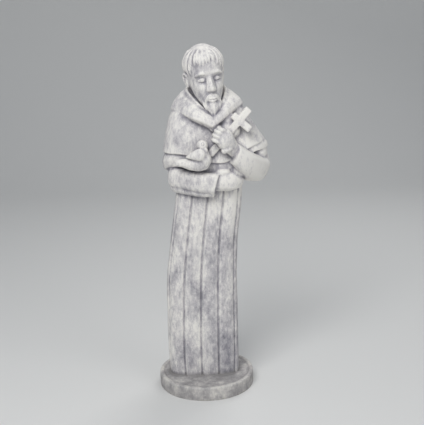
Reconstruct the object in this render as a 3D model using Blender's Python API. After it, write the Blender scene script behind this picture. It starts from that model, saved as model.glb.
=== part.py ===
"""A garden statue of a standing friar with a bird and a cross, cast in one piece with its round base.

World units are metres, +Z up, the figure facing -Y. The origin is under the middle of the base.
The base has real sizes of its own. The figure is drawn in millimetres of the real statue, and the
drawing is scaled to FIGURE_HEIGHT, so that its pose and carving keep their proportions.
"""
import math

import bmesh
import bpy
import numpy as np
from mathutils import Matrix, Vector

# Sizes of the base, in metres
BASE_DIAMETER = 0.170
BASE_THICKNESS = 0.024
BASE_DISH_DEPTH = 0.002
BASE_RIM_WIDTH = 0.007
BASE_EDGE_RADIUS = 0.0025
BASE_SIDES = 64

# Sizes of the figure, in metres
FIGURE_HEIGHT = 0.588
FIGURE_ROOT_DEPTH = 0.006
PLEAT_DEPTH = 0.0032
PLEAT_GROOVE_TOP_WIDTH = 0.0062
PLEAT_GROOVE_FOOT_WIDTH = 0.0043
CAPE_HEM_THICKNESS = 0.0032
HOOD_ROLL_RADIUS = 0.0040
CROSS_BAR_WIDTH = 0.0120
CROSS_THICKNESS = 0.014
FINGER_RADIUS = 0.0042

# Numbers of repeated forms
PLEATS = 10
HAIR_LOCKS = 38
BEARD_LOCKS = 9

# Fineness of the finished solid
CLAY_GRAIN = FIGURE_HEIGHT / 430
UPPER_TRIANGLES = 6000

# The drawing: its height and the level of its foot, in drawing millimetres
DRAWN_HEIGHT = 588.0
DRAWN_FOOT = 22.0
MM = FIGURE_HEIGHT / DRAWN_HEIGHT
BASE_TOP = BASE_THICKNESS - BASE_DISH_DEPTH

# Robe, as level, centre X, half width, centre Y, half depth
ROBE = (
    (14, -3.2, 60.9, 0, 29),
    (60, -4.3, 62.4, 0, 29.5),
    (130, -4.6, 62.2, 0, 30.5),
    (200, -4.0, 61.3, 0, 32),
    (271, 1.5, 58.0, 0, 34),
    (340, 10.3, 56.8, 0, 36),
    (400, 15.0, 54.0, 0, 37),
    (440, 15.0, 50.0, 0, 36),
)
ROBE_SQUARENESS = 3.4
# The pleats, as level, how far the middle groove lies left of the robe's centre line, and how much narrower
# the pleats are in front than behind
PLEAT_PLACES = ((14, 4.5, 0.0075), (100, 3.4, 0.0075), (200, 1.6, 0.010), (340, 2.6, 0.0135),
                (440, 2.6, 0.0135))

# Cape, as share of the way down, left X, right X, front Y, back Y
CAPE = (
    (0.00, -20, 44, -28, 30),
    (0.20, -45, 70, -36, 38),
    (0.35, -53, 77, -41, 44),
    (0.50, -57, 84, -45, 48),
    (0.70, -61, 94, -49, 50),
    (1.00, -65.6, 109.3, -52, 50),
)
CAPE_TOP = 520
CAPE_SQUARENESS = 2.5
# Its hem, as degrees round from the front, then level
CAPE_HEM = (
    (-135, 415), (-90, 427), (-60, 429), (-27, 427.5), (3, 414), (15, 419), (25, 428),
    (36, 435.6), (50, 441), (70, 445.5), (90, 447), (135, 426), (180, 404),
)
# The layer under the cape, as degrees round, level of its hem, how far it stands out, and how round its
# edge is
UNDERCAPE = (
    (-135, 402, 4, 1), (-90, 397, 6, 1), (-65, 404, 4, 1), (-32, 407, 0, 0.6), (3, 399, 0, 0),
    (25, 413, 0, 0),
    (36, 421, 1, 0), (46.5, 429, 2, 0), (70, 433, 6, 0), (90, 434.6, 9, 0), (135, 414, 4, 0.5),
    (180, 392, 3, 1),
)

# Hood, as degrees round from the point of its V, then X, Y, level
HOOD_RIM = (
    (0, 20.8, -60, 477), (22, 33, -56, 485.5), (45, 47, -47, 494.5), (90, 72.0, -3, 506),
    (135, 57, 38, 488), (180, 13, 57, 446),
    (225, -30, 38, 482), (270, -48.5, -2, 500.0), (315, -14, -50, 490), (338, 4, -58, 484.5),
    (360, 20.8, -60, 477),
)
HOOD_LIP = (
    (0, 21, -47, 490.5), (22, 31, -43, 500), (45, 39, -33, 512), (90, 45, 2, 530),
    (135, 34, 27, 536), (180, 10, 37, 537),
    (225, -13, 27, 536), (270, -23, 2, 530), (315, -6, -35, 512), (338, 8, -43, 500),
    (360, 21, -47, 490.5),
)

# Where the head stands and how it is held
HEAD_CENTRE = (9.5, -16.0, 556.0)
HEAD_BOW = math.radians(5)
HEAD_TILT = math.radians(-7)
HEAD_TURN = math.radians(13)


def at(x, y, z):
    """A point of the drawing, in world metres."""
    return Vector((x * MM, y * MM, (z - DRAWN_FOOT) * MM + BASE_TOP))


def drawn(metres):
    """A real size as drawing millimetres."""
    return metres / MM


def curve_at(keys, u, closed=False):
    """The values at u on a smooth curve through keys, each of which is (u, value, value ...)."""
    keys = list(keys)
    if closed:
        turn = 360
        low = keys[0][0]
        u = low + (u - low) % turn
        keys = (
            [(k[0] - turn, *k[1:]) for k in keys[-2:]]
            + keys
            + [(k[0] + turn, *k[1:]) for k in keys[:2]]
        )
    u = min(max(u, keys[0][0]), keys[-1][0])
    i = max(j for j in range(len(keys) - 1) if keys[j][0] <= u)
    before, a, b, after = keys[max(i - 1, 0)], keys[i], keys[i + 1], keys[min(i + 2, len(keys) - 1)]
    span = b[0] - a[0]
    t = (u - a[0]) / span
    found = []
    for n in range(1, len(a)):
        slope_a = (b[n] - before[n]) / (b[0] - before[0]) * span
        slope_b = (after[n] - a[n]) / (after[0] - a[0]) * span
        found.append(
            (2 * t**3 - 3 * t**2 + 1) * a[n]
            + (t**3 - 2 * t**2 + t) * slope_a
            + (3 * t**2 - 2 * t**3) * b[n]
            + (t**3 - t**2) * slope_b
        )
    return found


def oval(angle, half_width, half_depth, squareness):
    """A point on an oval or rounded rectangle. Angle 0 is its front middle, and +X is at a quarter turn."""
    s, c = math.sin(angle), math.cos(angle)
    power = 2 / squareness
    return (
        half_width * math.copysign(abs(s) ** power, s),
        -half_depth * math.copysign(abs(c) ** power, c),
    )


def angles_at(shares, half_width, half_depth, squareness, shift):
    """Angles of an oval for shares of the way round it.

    Shift is how far left of the front middle share 0 lies.
    """
    turns = np.linspace(0, 2 * math.pi, 3601)
    points = np.array([oval(turn, half_width, half_depth, squareness) for turn in turns])
    lengths = np.concatenate(([0], np.cumsum(np.hypot(*(points[1:] - points[:-1]).T))))
    around = lengths[-1]
    wanted = (np.array(shares) * around - shift) % around
    return np.interp(wanted, lengths, turns), around


def loft(clay, rings):
    """Adds a closed skin over rings of points, by extruding the first ring onto each of the others."""
    form = bmesh.new()
    first = bmesh.ops.create_circle(form, segments=len(rings[0]), radius=1)["verts"]
    for vertex, point in zip(first, rings[0]):
        vertex.co = point
    ring = first
    for points in rings[1:]:
        ring = extrude_ring(form, ring, points)
    for end in (first, ring):
        middle = sum((vertex.co for vertex in end), Vector()) / len(end)
        tip = extrude_ring(form, end, [middle] * len(end))
        bmesh.ops.pointmerge(form, verts=tip, merge_co=middle)
    add_form(clay, form)


def add_form(clay, form):
    """Adds one finished form to the rest."""
    mesh = bpy.data.meshes.new("form")
    form.to_mesh(mesh)
    form.free()
    clay.from_mesh(mesh)
    bpy.data.meshes.remove(mesh)


def extrude_ring(form, ring, points):
    """Extrudes a loop of vertices, moves the new loop to the points and returns it in the same order."""
    edges = [form.edges.get((a, b)) for a, b in zip(ring, ring[1:] + ring[:1])]
    made = bmesh.ops.extrude_edge_only(form, edges=edges)["geom"]
    new = {v for v in made if isinstance(v, bmesh.types.BMVert)}
    after = [next(e.other_vert(v) for e in v.link_edges if e.other_vert(v) in new) for v in ring]
    for vertex, point in zip(after, points):
        vertex.co = point
    return after


def limb(clay, stations, side, place=at, sides=20, squareness=2.0, round_ends=(True, True), slant=0.0):
    """Adds a form that follows a path. A station is x, y, z, half width and half depth.

    The width lies along side, as square to the path as it can be. Slant leans the far end's cut.
    """
    steps = 4
    keys = [(n, *station) for n, station in enumerate(stations)]
    count = steps * (len(keys) - 1)
    line = [curve_at(keys, n / steps) for n in range(count + 1)]
    points = [Vector(values[:3]) for values in line]
    rings = []
    for n, values in enumerate(line):
        along = (points[min(n + 1, count)] - points[max(n - 1, 0)]).normalized()
        across = (Vector(side) - along * along.dot(Vector(side))).normalized()
        out = along.cross(across)
        width, depth = values[3:5]
        lean = slant * (n / count) ** 2
        for forward, size in end_rings(n, count, round_ends, min(width, depth)):
            centre = points[n] + along * forward
            ring = []
            for k in range(sides):
                x, y = oval(2 * math.pi * k / sides, width * size, depth * size, squareness)
                ring.append(place(*(centre + across * x + out * y + along * lean * x)))
            rings.append(ring)
    loft(clay, rings)


def end_rings(n, count, round_ends, radius):
    """The rings at one place on a limb, as a step forward and a share of its size.

    There is one ring, or several where an end is round.
    """
    round_over = [(radius * math.sin(a), math.cos(a)) for a in (math.radians(d) for d in (28, 54, 76))]
    if n == 0 and round_ends[0]:
        return [(-forward, size) for forward, size in reversed(round_over)] + [(0, 1)]
    if n == count and round_ends[1]:
        return [(0, 1)] + round_over
    return [(0, 1)]


def ball(clay, centre, radii, place=at, segments=24):
    """Adds an ellipsoid."""
    form = bmesh.new()
    for vertex in bmesh.ops.create_uvsphere(form, u_segments=segments, v_segments=segments // 2,
         radius=1)["verts"]:
        x, y, z = (c + r * v for c, r, v in zip(centre, radii, vertex.co))
        vertex.co = place(x, y, z)
    add_form(clay, form)


def block(clay, start, end, width, thickness, face, bevel=1.6):
    """Adds a straight bar of square section from start to end. Face is the way that its broad side looks."""
    along = (Vector(end) - Vector(start)).normalized()
    out = (Vector(face) - along * along.dot(Vector(face))).normalized()
    across = out.cross(along)
    length = (Vector(end) - Vector(start)).length
    middle = (Vector(start) + Vector(end)) / 2
    form = bmesh.new()
    for vertex in bmesh.ops.create_cube(form, size=1)["verts"]:
        x, y, z = vertex.co
        vertex.co = at(*(middle + along * x * length + across * y * width + out * z * thickness))
    bmesh.ops.bevel(
        form, geom=form.edges[:], offset=bevel * MM, segments=2, affect="EDGES", profile=0.5, material=-1
    )
    add_form(clay, form)


def add_robe(clay):
    """The robe from the base to the chest: broad flat pleats, parted by grooves that narrow downwards."""
    # Each row is a place on the pleat, in groove widths or in shares of the pleat, and how deep it lies
    groove_rows = ((-0.5, 0), (-0.26, 0.94), (0.26, 0.94), (0.5, 0))
    crown_rows = ((0.32, -0.24), (0.5, -0.32), (0.68, -0.24))
    root = DRAWN_FOOT - drawn(FIGURE_ROOT_DEPTH)
    top = ROBE[-1][0]
    around = angles_at((0,), ROBE[1][2], ROBE[1][4], ROBE_SQUARENESS, 0)[1]
    levels = 16
    rings = []
    for n in range(levels + 1):
        level = root + (top - root) * n / levels
        centre_x, half_width, centre_y, half_depth = curve_at(ROBE, max(level, ROBE[0][0]))
        groove = drawn(PLEAT_GROOVE_FOOT_WIDTH)
        groove += (drawn(PLEAT_GROOVE_TOP_WIDTH) - groove) * n / levels
        places = [(width * groove * PLEATS / around, cut) for width, cut in groove_rows]
        places += crown_rows
        shares = [(pleat + share) / PLEATS for pleat in range(PLEATS) for share, cut in places]
        shift, closing = curve_at(PLEAT_PLACES, level)
        shares = [share - closing * math.sin(2 * math.pi * share) for share in shares]
        cuts = [cut for pleat in range(PLEATS) for share, cut in places]
        angles = angles_at(shares, ROBE[1][2], ROBE[1][4], ROBE_SQUARENESS, shift)[0]
        ring = []
        for angle, cut in zip(angles, cuts):
            x, y = oval(angle, half_width, half_depth, ROBE_SQUARENESS)
            steep = ROBE_SQUARENESS - 1
            out = Vector((
                math.copysign(abs(x / half_width) ** steep, x) / half_width,
                math.copysign(abs(y / half_depth) ** steep, y) / half_depth,
            )).normalized()
            spot = Vector((x, y)) - out * cut * drawn(PLEAT_DEPTH)
            ring.append(at(centre_x + spot.x, centre_y + spot.y, level))
        rings.append(ring)
    loft(clay, rings)


def cape_point(degrees, down, stand_out=0.0):
    """A point of the cape's surface, a share of the way down from the neck to its hem."""
    left, right, front, back = curve_at(CAPE, min(down, 1))
    angle = math.radians(degrees)
    half_width = (right - left) / 2 + stand_out
    half_depth = (back - front) / 2 + stand_out
    x, y = oval(angle, half_width, half_depth, CAPE_SQUARENESS)
    (hem,) = curve_at(CAPE_HEM, degrees, closed=True)
    return ((left + right) / 2 + x, (front + back) / 2 + y, CAPE_TOP + (hem - CAPE_TOP) * down)


def add_cape(clay):
    """The short cape over the shoulders, and the layer that shows below its hem."""
    count = 96
    round_the_body = [360 * k / count - 180 for k in range(count)]
    thickness = drawn(CAPE_HEM_THICKNESS)
    # Each row is the share of the way down and how far the surface stands out
    cape_rows = [(n / 16, 0) for n in range(16)] + [(0.985, 0), (1.0, -0.3 * thickness),
        (1.0, -2.5 * thickness)]
    loft(clay, [[at(*cape_point(d, down, out)) for d in round_the_body] for down, out in cape_rows])
    # Each row is the share of the way down the layer that shows, its share of the standing out, how far the
    # surface lies in, and how much further in where the edge is round
    rows = (
        (0, 0, 7, 0), (0.1, 0.2, 2.2, 0), (0.3, 0.5, 0.6, 0), (0.55, 0.8, 0, 0), (0.8, 0.9, 0, 1.6),
        (0.96, 1, 0, 4.2), (1, 1, 0.6, 6), (1, 1, 6, 9),
    )
    rings = []
    for share, outward, inset, rounding in rows:
        ring = []
        for degrees in round_the_body:
            level, stand_out, roundness = curve_at(UNDERCAPE, degrees, closed=True)
            out = stand_out * outward - inset - rounding * roundness - thickness
            x, y, hem = cape_point(degrees, 1, out)
            above = hem + 3
            ring.append(at(x, y, above + (level - above) * share))
        rings.append(ring)
    loft(clay, rings)


def add_hood(clay):
    """The hood laid back as a broad collar, with its point hanging behind."""
    count = 96
    # Each row is a share from the rim to the lip, a step outwards and a step up
    rows = (
        (0.0, -18, -10), (0.02, -4, -5), (0.0, -1.2, -2.0), (0.0, 0, 0), (0.06, 1.4, 3.4), (0.25, 3.0, 5.0),
        (0.5, 3.4, 4.6), (0.75, 3.0, 3.8), (0.94, 1.0, 2.0), (1.0, 0, 0.6), (1.04, -2.0, -0.5),
        (1.1, -4, -12),
    )
    rings = []
    for share, out, up in rows:
        ring = []
        for k in range(count):
            degrees = 360 * k / count
            rim, lip = Vector(curve_at(HOOD_RIM, degrees)), Vector(curve_at(HOOD_LIP, degrees))
            spot = rim.lerp(lip, share)
            away = Vector((rim.x - 11, rim.y, 0)).normalized()
            ring.append(at(spot.x + away.x * out, spot.y + away.y * out, spot.z + up))
        rings.append(ring)
    loft(clay, rings)
    roll = drawn(HOOD_ROLL_RADIUS)
    for keys, radius, inset in ((HOOD_RIM, roll, 3.2), (HOOD_LIP, 0.6 * roll, 1.2)):
        line = []
        for k in range(-2, 49):
            x, y, z = curve_at(keys, (360 * k / 48) % 360)
            away = Vector((x - 11, y, 0)).normalized() * inset
            line.append((x - away.x, y - away.y, z + 2, radius, radius))
        limb(clay, line, side=(0, 0, 1), sides=12)


def head_frame():
    """The matrix that holds the head: drawn upright round its own middle, then bowed, tilted and turned."""
    turn = Matrix.Rotation(HEAD_TURN, 3, "Z")
    tilt = Matrix.Rotation(HEAD_TILT, 3, "Y")
    bow = Matrix.Rotation(HEAD_BOW, 3, "X")
    return turn @ tilt @ bow


HEAD_FRAME = head_frame()


def on_head(x, y, z):
    """A point of the head's own drawing, in world metres. Its front is -Y and its eye line is at 0."""
    return at(*(HEAD_FRAME @ Vector((x, y, z)) + Vector(HEAD_CENTRE)))


# Head, as level, half width, front Y, back Y
HEAD = (
    (-53, 3, -27, -12), (-51.5, 7.5, -31, -8), (-47, 12, -34, -3), (-40, 17, -35.5, 3),
    (-30, 22, -36.5, 10), (-20, 25.5, -37, 19), (-10, 28, -36.5, 28), (0, 29.5, -35.5, 35),
    (10, 30.3, -36.5, 39), (20, 30.5, -36, 40.5), (30, 29, -33.5, 39), (40, 24, -27, 33),
    (47, 17, -18.5, 24.5), (51, 9, -9, 14), (52.3, 2.5, -2, 6),
)
# Hollows of the face, as centre, radii and depth
HOLLOWS = (
    ((12.4, -36, -0.5), (10.0, 14, 7.0), 5.6),
    ((11.5, -36, 11.5), (13, 14, 4.6), -1.3),
    ((21, -29, -13), (8, 13, 6), -1.3),
    ((19, -30, -27), (9, 14, 11), 2.0),
    ((31, -12, 14), (8, 14, 12), 1.5),
    ((0, -37, -30), (13, 14, 10), -1.6),
)


def hollowed(x, y, z):
    """A point of the plain head, pressed back where the eyes and the cheeks are hollow."""
    for (cx, cy, cz), (rx, ry, rz), depth in HOLLOWS:
        far = ((abs(x) - cx) / rx) ** 2 + ((y - cy) / ry) ** 2 + ((z - cz) / rz) ** 2
        press = depth * math.exp(-1.6 * far)
        y += press
    return x, y, z


def add_head(clay):
    """The head itself, with the hollows of its face."""
    count, levels = 64, 56
    rings = []
    for n in range(levels + 1):
        level = HEAD[0][0] + (HEAD[-1][0] - HEAD[0][0]) * n / levels
        half_width, front, back = curve_at(HEAD, level)
        ring = []
        for k in range(count):
            x, y = oval(2 * math.pi * k / count, half_width, (back - front) / 2, 2.15)
            ring.append(on_head(*hollowed(x, (front + back) / 2 + y, level)))
        rings.append(ring)
    loft(clay, rings)
    limb(clay, ((10, 4, 490, 22, 22), (9, 0, 515, 20, 21), (9, -4, 540, 20, 22)), side=(1, 0, 0), sides=32)


def add_face(clay):
    """Brows, lowered lids, nose, lips and ears, on even proportions."""
    def piece(stations, side, **more):
        limb(clay, stations, side, place=on_head, sides=14, **more)

    piece(((0, -31.5, 9, 5.6, 3.6), (0, -34.2, -4, 6.6, 5), (0, -36.4, -14, 8.2, 6)), (1, 0, 0))
    piece(((0, -33.0, 9.5, 3.4, 2.6), (0, -36.0, 1, 2.9, 3.2), (0, -39.6, -8, 3.4, 3.8),
          (0, -42.0, -14.4, 4.4, 4.2)),
          (1, 0, 0))
    ball(clay, (0, -36.2, -43), (7.6, 4.8, 7.4), place=on_head)
    for s in (-1, 1):
        piece(((3.4 * s, -33.0, 8.4, 2.4, 2.6), (8.5 * s, -34.1, 10.8, 2.7, 2.8),
              (15 * s, -32.3, 11.2, 2.7, 2.8),
               (22 * s, -27.2, 7.2, 1.8, 2.2)), (0, 0, 1))
        piece(((5.6 * s, -27.5, -1.6, 1.2, 2.5), (9 * s, -28.0, -0.4, 3.8, 4.2),
              (12.6 * s, -27.8, 0.2, 4.8, 4.8),
               (16.4 * s, -25.8, -0.6, 3.6, 4.2), (19.8 * s, -23.6, -2, 1, 2)), (0, 0, 1))
        ball(clay, (5.0 * s, -38.2, -16.2), (3.0, 3.8, 2.9), place=on_head)
        add_ear(clay, s)
    piece(((-8.5, -36.2, -31.4, 1.2, 1.4), (-3.4, -38.8, -30.3, 2.0, 2.2), (0, -39, -30.8, 1.7, 2.2),
           (3.4, -38.8, -30.3, 2.0, 2.2), (8.5, -36.2, -31.4, 1.2, 1.4)), (0, 0, 1))
    piece(((-7, -36.6, -33.6, 1.4, 1.6), (0, -39, -34.9, 2.3, 2.4), (7, -36.6, -33.6, 1.4, 1.6)), (0, 0, 1))


def add_ear(clay, s):
    """One ear: a bowl, its curled rim and its lobe."""
    ball(clay, (29.5 * s, 5, -5), (3.4, 6, 10), place=on_head)
    rim = (
        (29 * s, -1.5, 1, 1.6, 1.6), (32 * s, 1.0, 6.5, 1.9, 1.9), (34.2 * s, 6.5, 7.5, 2.1, 2.1),
        (34.2 * s, 10.5, 1, 2.1, 2.1), (32.5 * s, 8.5, -8, 2.0, 2.0), (30 * s, 3.5, -14, 2.4, 2.2),
    )
    limb(clay, rim, (s, 0, 0), place=on_head, sides=12)


def skull_point(azimuth, polar, lift):
    """A point over the skull, by degrees round from the front and degrees down from the crown."""
    a, p = math.radians(azimuth), math.radians(polar)
    radii = (31.0 + lift, 38.0 + lift, 37.0 + lift)
    return (
        radii[0] * math.sin(p) * math.sin(a),
        2.5 - radii[1] * math.sin(p) * math.cos(a),
        15.5 + radii[2] * math.cos(p),
    )


# How far down the hair reaches, as degrees round from the front, then degrees down from the crown
HAIR_REACH = (
    (-135, 112), (-90, 100), (-62, 98), (-42, 84), (0, 72), (42, 84), (62, 98), (90, 100), (135, 112),
    (180, 122),
)
TONSURE = 36


def add_hair(clay):
    """A ring of locks that hang from a smooth crown, the fringe cut unevenly across the brow."""
    ball(clay, (0, 2.5, 17), (31.4, 38.2, 36.4), place=on_head, segments=32)
    for n in range(HAIR_LOCKS):
        azimuth = 360 * (n + 0.5) / HAIR_LOCKS + 1.4 * math.sin(2.7 * n)
        (reach,) = curve_at(HAIR_REACH, azimuth, closed=True)
        reach += 6.0 * math.sin(5.1 * n)
        start = TONSURE + 6 * math.sin(3.3 * n)
        sway = 2.6 * math.sin(1.9 * n)
        line = []
        for share, size in ((0, 0.2), (0.25, 0.75), (0.6, 1.0), (0.86, 0.72), (1.0, 0.15)):
            lift = -0.6 + 2.6 * math.sin(math.pi * min(0.75 * share + 0.12, 1))
            spot = skull_point(azimuth + sway * share * share, start + (reach - start) * share, lift)
            line.append((*spot, 2.75 * size, 2.9 * size))
        side = Vector((math.cos(math.radians(azimuth)), math.sin(math.radians(azimuth)), 0))
        limb(clay, line, side, place=on_head, sides=10)


def add_beard(clay):
    """A moustache that frames the mouth, and a short pointed beard, both in tapering locks."""
    for s in (-1, 1):
        for n in range(3):
            lock = (
                ((0.8 + 0.3 * n) * s, -38.0, -24.6 - 1.5 * n, 1.0, 1.4),
                (6 * s, -37.8, -26.2 - 1.7 * n, 1.8, 1.9),
                ((10.2 - 0.6 * n) * s, -35.2, -30.6 - 1.6 * n, 1.8, 2.0),
                ((12.0 - 1.3 * n) * s, -33.6, -37.5 - n, 1.7, 1.9),
                ((11.0 - 1.6 * n) * s, -34.2, -45 - n, 0.7, 0.9),
            )
            limb(clay, lock, (0, 0, 1), place=on_head, sides=12)
    for count, forward, size, top, tip in ((BEARD_LOCKS, 0, 1, -38, -65),
                                           (BEARD_LOCKS - 4, -2.0, 0.85, -39.5, -60)):
        middle = (count - 1) / 2
        for n in range(count):
            out = (n - middle) / middle
            spread = 15 * (count - 1) / (BEARD_LOCKS - 1)
            start = (spread * out, -36.2 + forward + 8.5 * out * out, top + 3.5 * out * out)
            end = (0.28 * spread * out, -38 + forward + 2 * out * out,
                 tip + 9 * abs(out) + 1.4 * math.sin(4 * n + count))
            line = []
            for share, width in ((0, 0.45), (0.35, 1), (0.72, 0.85), (1, 0.15)):
                spot = Vector(start).lerp(Vector(end), share)
                curl = math.sin(math.pi * share)
                line.append((spot.x + (2.2 * out + 0.5 * math.sin(3 * n)) * curl, spot.y - 1.6 * curl,
                     spot.z,
                             2.9 * width * size, 3.0 * width * size))
            limb(clay, line, (1, 0, 0), place=on_head, sides=10)


def add_right_arm(clay):
    """The arm across the waist: a wide sleeve with a rolled lower edge, and the hand laid flat."""
    limb(clay, ((-36, 2, 470, 17, 20), (-44, -2, 432, 18, 21), (-41, -10, 396, 16, 20)), (1, 0, 0), sides=28)
    limb(clay, ((-41, -20, 386, 18.6, 17), (-24, -33, 384, 18.2, 16), (0, -45, 382, 18, 16),
                (25.6, -49, 379.5, 18.6, 14.5)),
         (0, 0, 1), squareness=3.0, sides=36, round_ends=(True, False), slant=0.17)
    limb(clay, ((-42, -19, 371.5, 12, 13), (-26, -30, 369, 11, 14), (0, -41.5, 367, 11, 13.6),
                (22.4, -45, 366.5, 10.8, 13)),
         (0, 0, 1), squareness=2.4, sides=28, round_ends=(True, False), slant=0.17)
    limb(clay, ((10, -44, 381, 14.5, 12), (34, -45, 383, 17.5, 12.5), (50, -42, 383, 17.5, 12.5),
                (60, -36, 381.5, 13.5, 11)), (0, 0, 1), squareness=2.1, sides=28)
    finger = drawn(FINGER_RADIUS)
    for n in range(3):
        level = 389 - 7.4 * n
        limb(clay, ((36, -49.0, level, 0.9 * finger, 5), (49, -48.6, level - 0.6, finger, 5.5),
                    (59, -41.6, level - 1.6, 0.95 * finger, 5), (63.6, -34, level - 2.2, 0.8 * finger, 4)),
             (0, 0, 1), sides=14)
    limb(clay, ((22, -46, 391, 7, 6.5), (33, -50, 397.8, 6.8, 6.2), (43, -49, 399.5, 4.6, 4.8)),
                (0, 0, 1), sides=14)
    ball(clay, (50, -30, 398), (22, 17, 17))
    ball(clay, (10, -8, 402), (50, 34, 30))


def add_left_arm(clay):
    """The raised arm: a full sleeve from the elbow up to the hand that holds the cross."""
    limb(clay, ((62, 6, 486, 10, 16), (83, 4, 448, 21, 23), (95, -4, 404, 23.5, 24)), (1, 0, 0), sides=32)
    limb(clay, ((96, -11, 398.5, 22.5, 20), (86, -26, 403, 22.5, 20), (71, -43, 416, 19, 19.5),
                (55.2, -50.5, 430.4, 16.4, 20)),
         (0.42, 0, 0.91), squareness=3.0, sides=36, round_ends=(True, False), slant=0.32)
    ball(clay, (95, -10, 425), (18, 19, 20))
    ball(clay, (86, -18, 390), (22, 22, 13.5))
    ball(clay, (64, -36, 402), (16, 16, 14))
    limb(clay, ((64, -43, 424, 10, 9), (52, -55, 440, 12, 10), (41, -64, 454, 15.5, 12),
                (37, -65, 463, 14.5, 11)),
         (0.66, 0, 0.75), squareness=2.4, sides=28)
    limb(clay, ((51, -63, 446, 5, 5), (45, -67.5, 440.5, 5.2, 5), (38.2, -68, 438.0, 4.8, 4.8)),
                (0.66, 0, 0.75), sides=14)
    finger = drawn(FINGER_RADIUS)
    ball(clay, (41.0, -66.5, 458.5), (12.5, 10.0, 15))
    for n, (x, z) in enumerate(((33.0, 474.2), (28.2, 469.6), (24.8, 463.0), (23.2, 455.4))):
        size = finger * (0.78, 0.82, 0.82, 0.82)[n]
        limb(clay, ((x + 8, -66.5, z - 3.2, 0.8 * size, 5), (x + 4, -71.0, z - 1.4, size, 5),
                    (x, -70.5, z, size, 4.8),
                    (x - 1.8, -64, z + 0.4, size, 4.6), (x - 1, -53, z, size, 4.6)),
                    (0.5, 0, 0.87), sides=14)
    ball(clay, (46, -42, 468), (20, 14, 16))


# The cross, in drawing millimetres: the ends of its upright, how far up its arm crosses, and the arm's
# two lengths
CROSS_FOOT = (14.5, -49.5, 429.5)
CROSS_HEAD = (81.0, -50.0, 504.0)
CROSS_MEETING = 0.745
CROSS_ARMS = (14.2, 24.0)


def add_cross(clay):
    """The cross, its upright slanting over the chest and one arm ending against the hood."""
    width, thickness = drawn(CROSS_BAR_WIDTH), drawn(CROSS_THICKNESS)
    foot, head = Vector(CROSS_FOOT), Vector(CROSS_HEAD)
    face = Vector((0.06, -1, 0.1))
    block(clay, foot, head, width, thickness, face)
    meeting = foot.lerp(head, CROSS_MEETING)
    arm = (head - foot).normalized().cross(face).normalized()
    ball(clay, (44, -38, 482), (20, 12, 15))
    ball(clay, (24, -49, 474), (9, 8, 8))
    block(clay, meeting - arm * CROSS_ARMS[0], meeting + arm * CROSS_ARMS[1], width, thickness - 0.6, face)


def add_bird(clay):
    """The bird that perches on the forearm: body and tail, folded wing, head, beak and eye."""
    body = (
        (-42, -56, 417.5, 6.2, 6), (-29, -57, 417.0, 7.4, 7.5), (-17, -59, 415.5, 10.6, 10),
        (-4, -60, 416.5, 13.4, 12), (4.0, -60, 418.5, 11.5, 11.5),
    )
    limb(clay, body, (0.1, 0, 1), squareness=2.2, sides=24, round_ends=(False, True))
    breast = (
        (3.0, -60, 415, 10.5, 10.5), (4.8, -60.5, 423.5, 12.6, 12.3), (4.6, -61, 433, 8.6, 10.4),
        (3.2, -61.5, 442, 7.2, 8.4), (2.6, -62, 446, 7.6, 8.4),
    )
    limb(clay, breast, (1, 0, 0), squareness=2.1, sides=24)
    ball(clay, (2.3, -62.5, 447.2), (9.4, 9.2, 8.6))
    limb(clay, ((5.8, -67, 443.4, 3.0, 3), (8.8, -69, 440.4, 2.3, 2.3), (10.4, -69.2, 438.0, 1.0, 1.2)),
                (1, 0, 0.4), sides=12)
    wing = (
        (-24.5, -65, 428.6, 1.2, 2.5), (-15, -69, 430.6, 6.0, 5), (-5.0, -71.5, 432.4, 10.0, 5.4),
        (1.2, -71.5, 432.8, 9.2, 5.2),
        (5.0, -70, 432.9, 5.6, 4),
    )
    limb(clay, wing, (0.05, 0, 1), squareness=2.1, sides=20)
    ball(clay, (3.3, -69.6, 450.2), (2.6, 2.6, 2.6), segments=10)
    ball(clay, (-12, -42, 413), (24, 14, 10))
    ball(clay, (10, -46, 428), (8, 9, 12))


def clay_object(name, forms):
    """An object that holds the forms, overlapping, in one rough mesh."""
    clay = bmesh.new()
    for add in forms:
        add(clay)
    bmesh.ops.recalc_face_normals(clay, faces=clay.faces[:])
    mesh = bpy.data.meshes.new(name)
    clay.to_mesh(mesh)
    clay.free()
    made = bpy.data.objects.new(name, mesh)
    bpy.context.scene.collection.objects.link(made)
    made.hide_render = True
    made.display_type = "WIRE"
    return made


def evaluated_mesh(obj):
    """The object's mesh with its modifiers applied."""
    graph = bpy.context.evaluated_depsgraph_get()
    return bpy.data.meshes.new_from_object(obj.evaluated_get(graph))


def outer_skin(mesh):
    """The mesh without the skins of pockets that are sealed inside it: there the casting is solid."""
    solid = bmesh.new()
    solid.from_mesh(mesh)
    crown = max(solid.verts, key=lambda vertex: vertex.co.z)
    skin, reached = {crown}, [crown]
    while reached:
        vertex = reached.pop()
        for edge in vertex.link_edges:
            other = edge.other_vert(vertex)
            if other not in skin:
                skin.add(other)
                reached.append(other)
    bmesh.ops.delete(solid, geom=[v for v in solid.verts if v not in skin], context="VERTS")
    kept = bpy.data.meshes.new(mesh.name)
    solid.to_mesh(kept)
    solid.free()
    return kept


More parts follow.
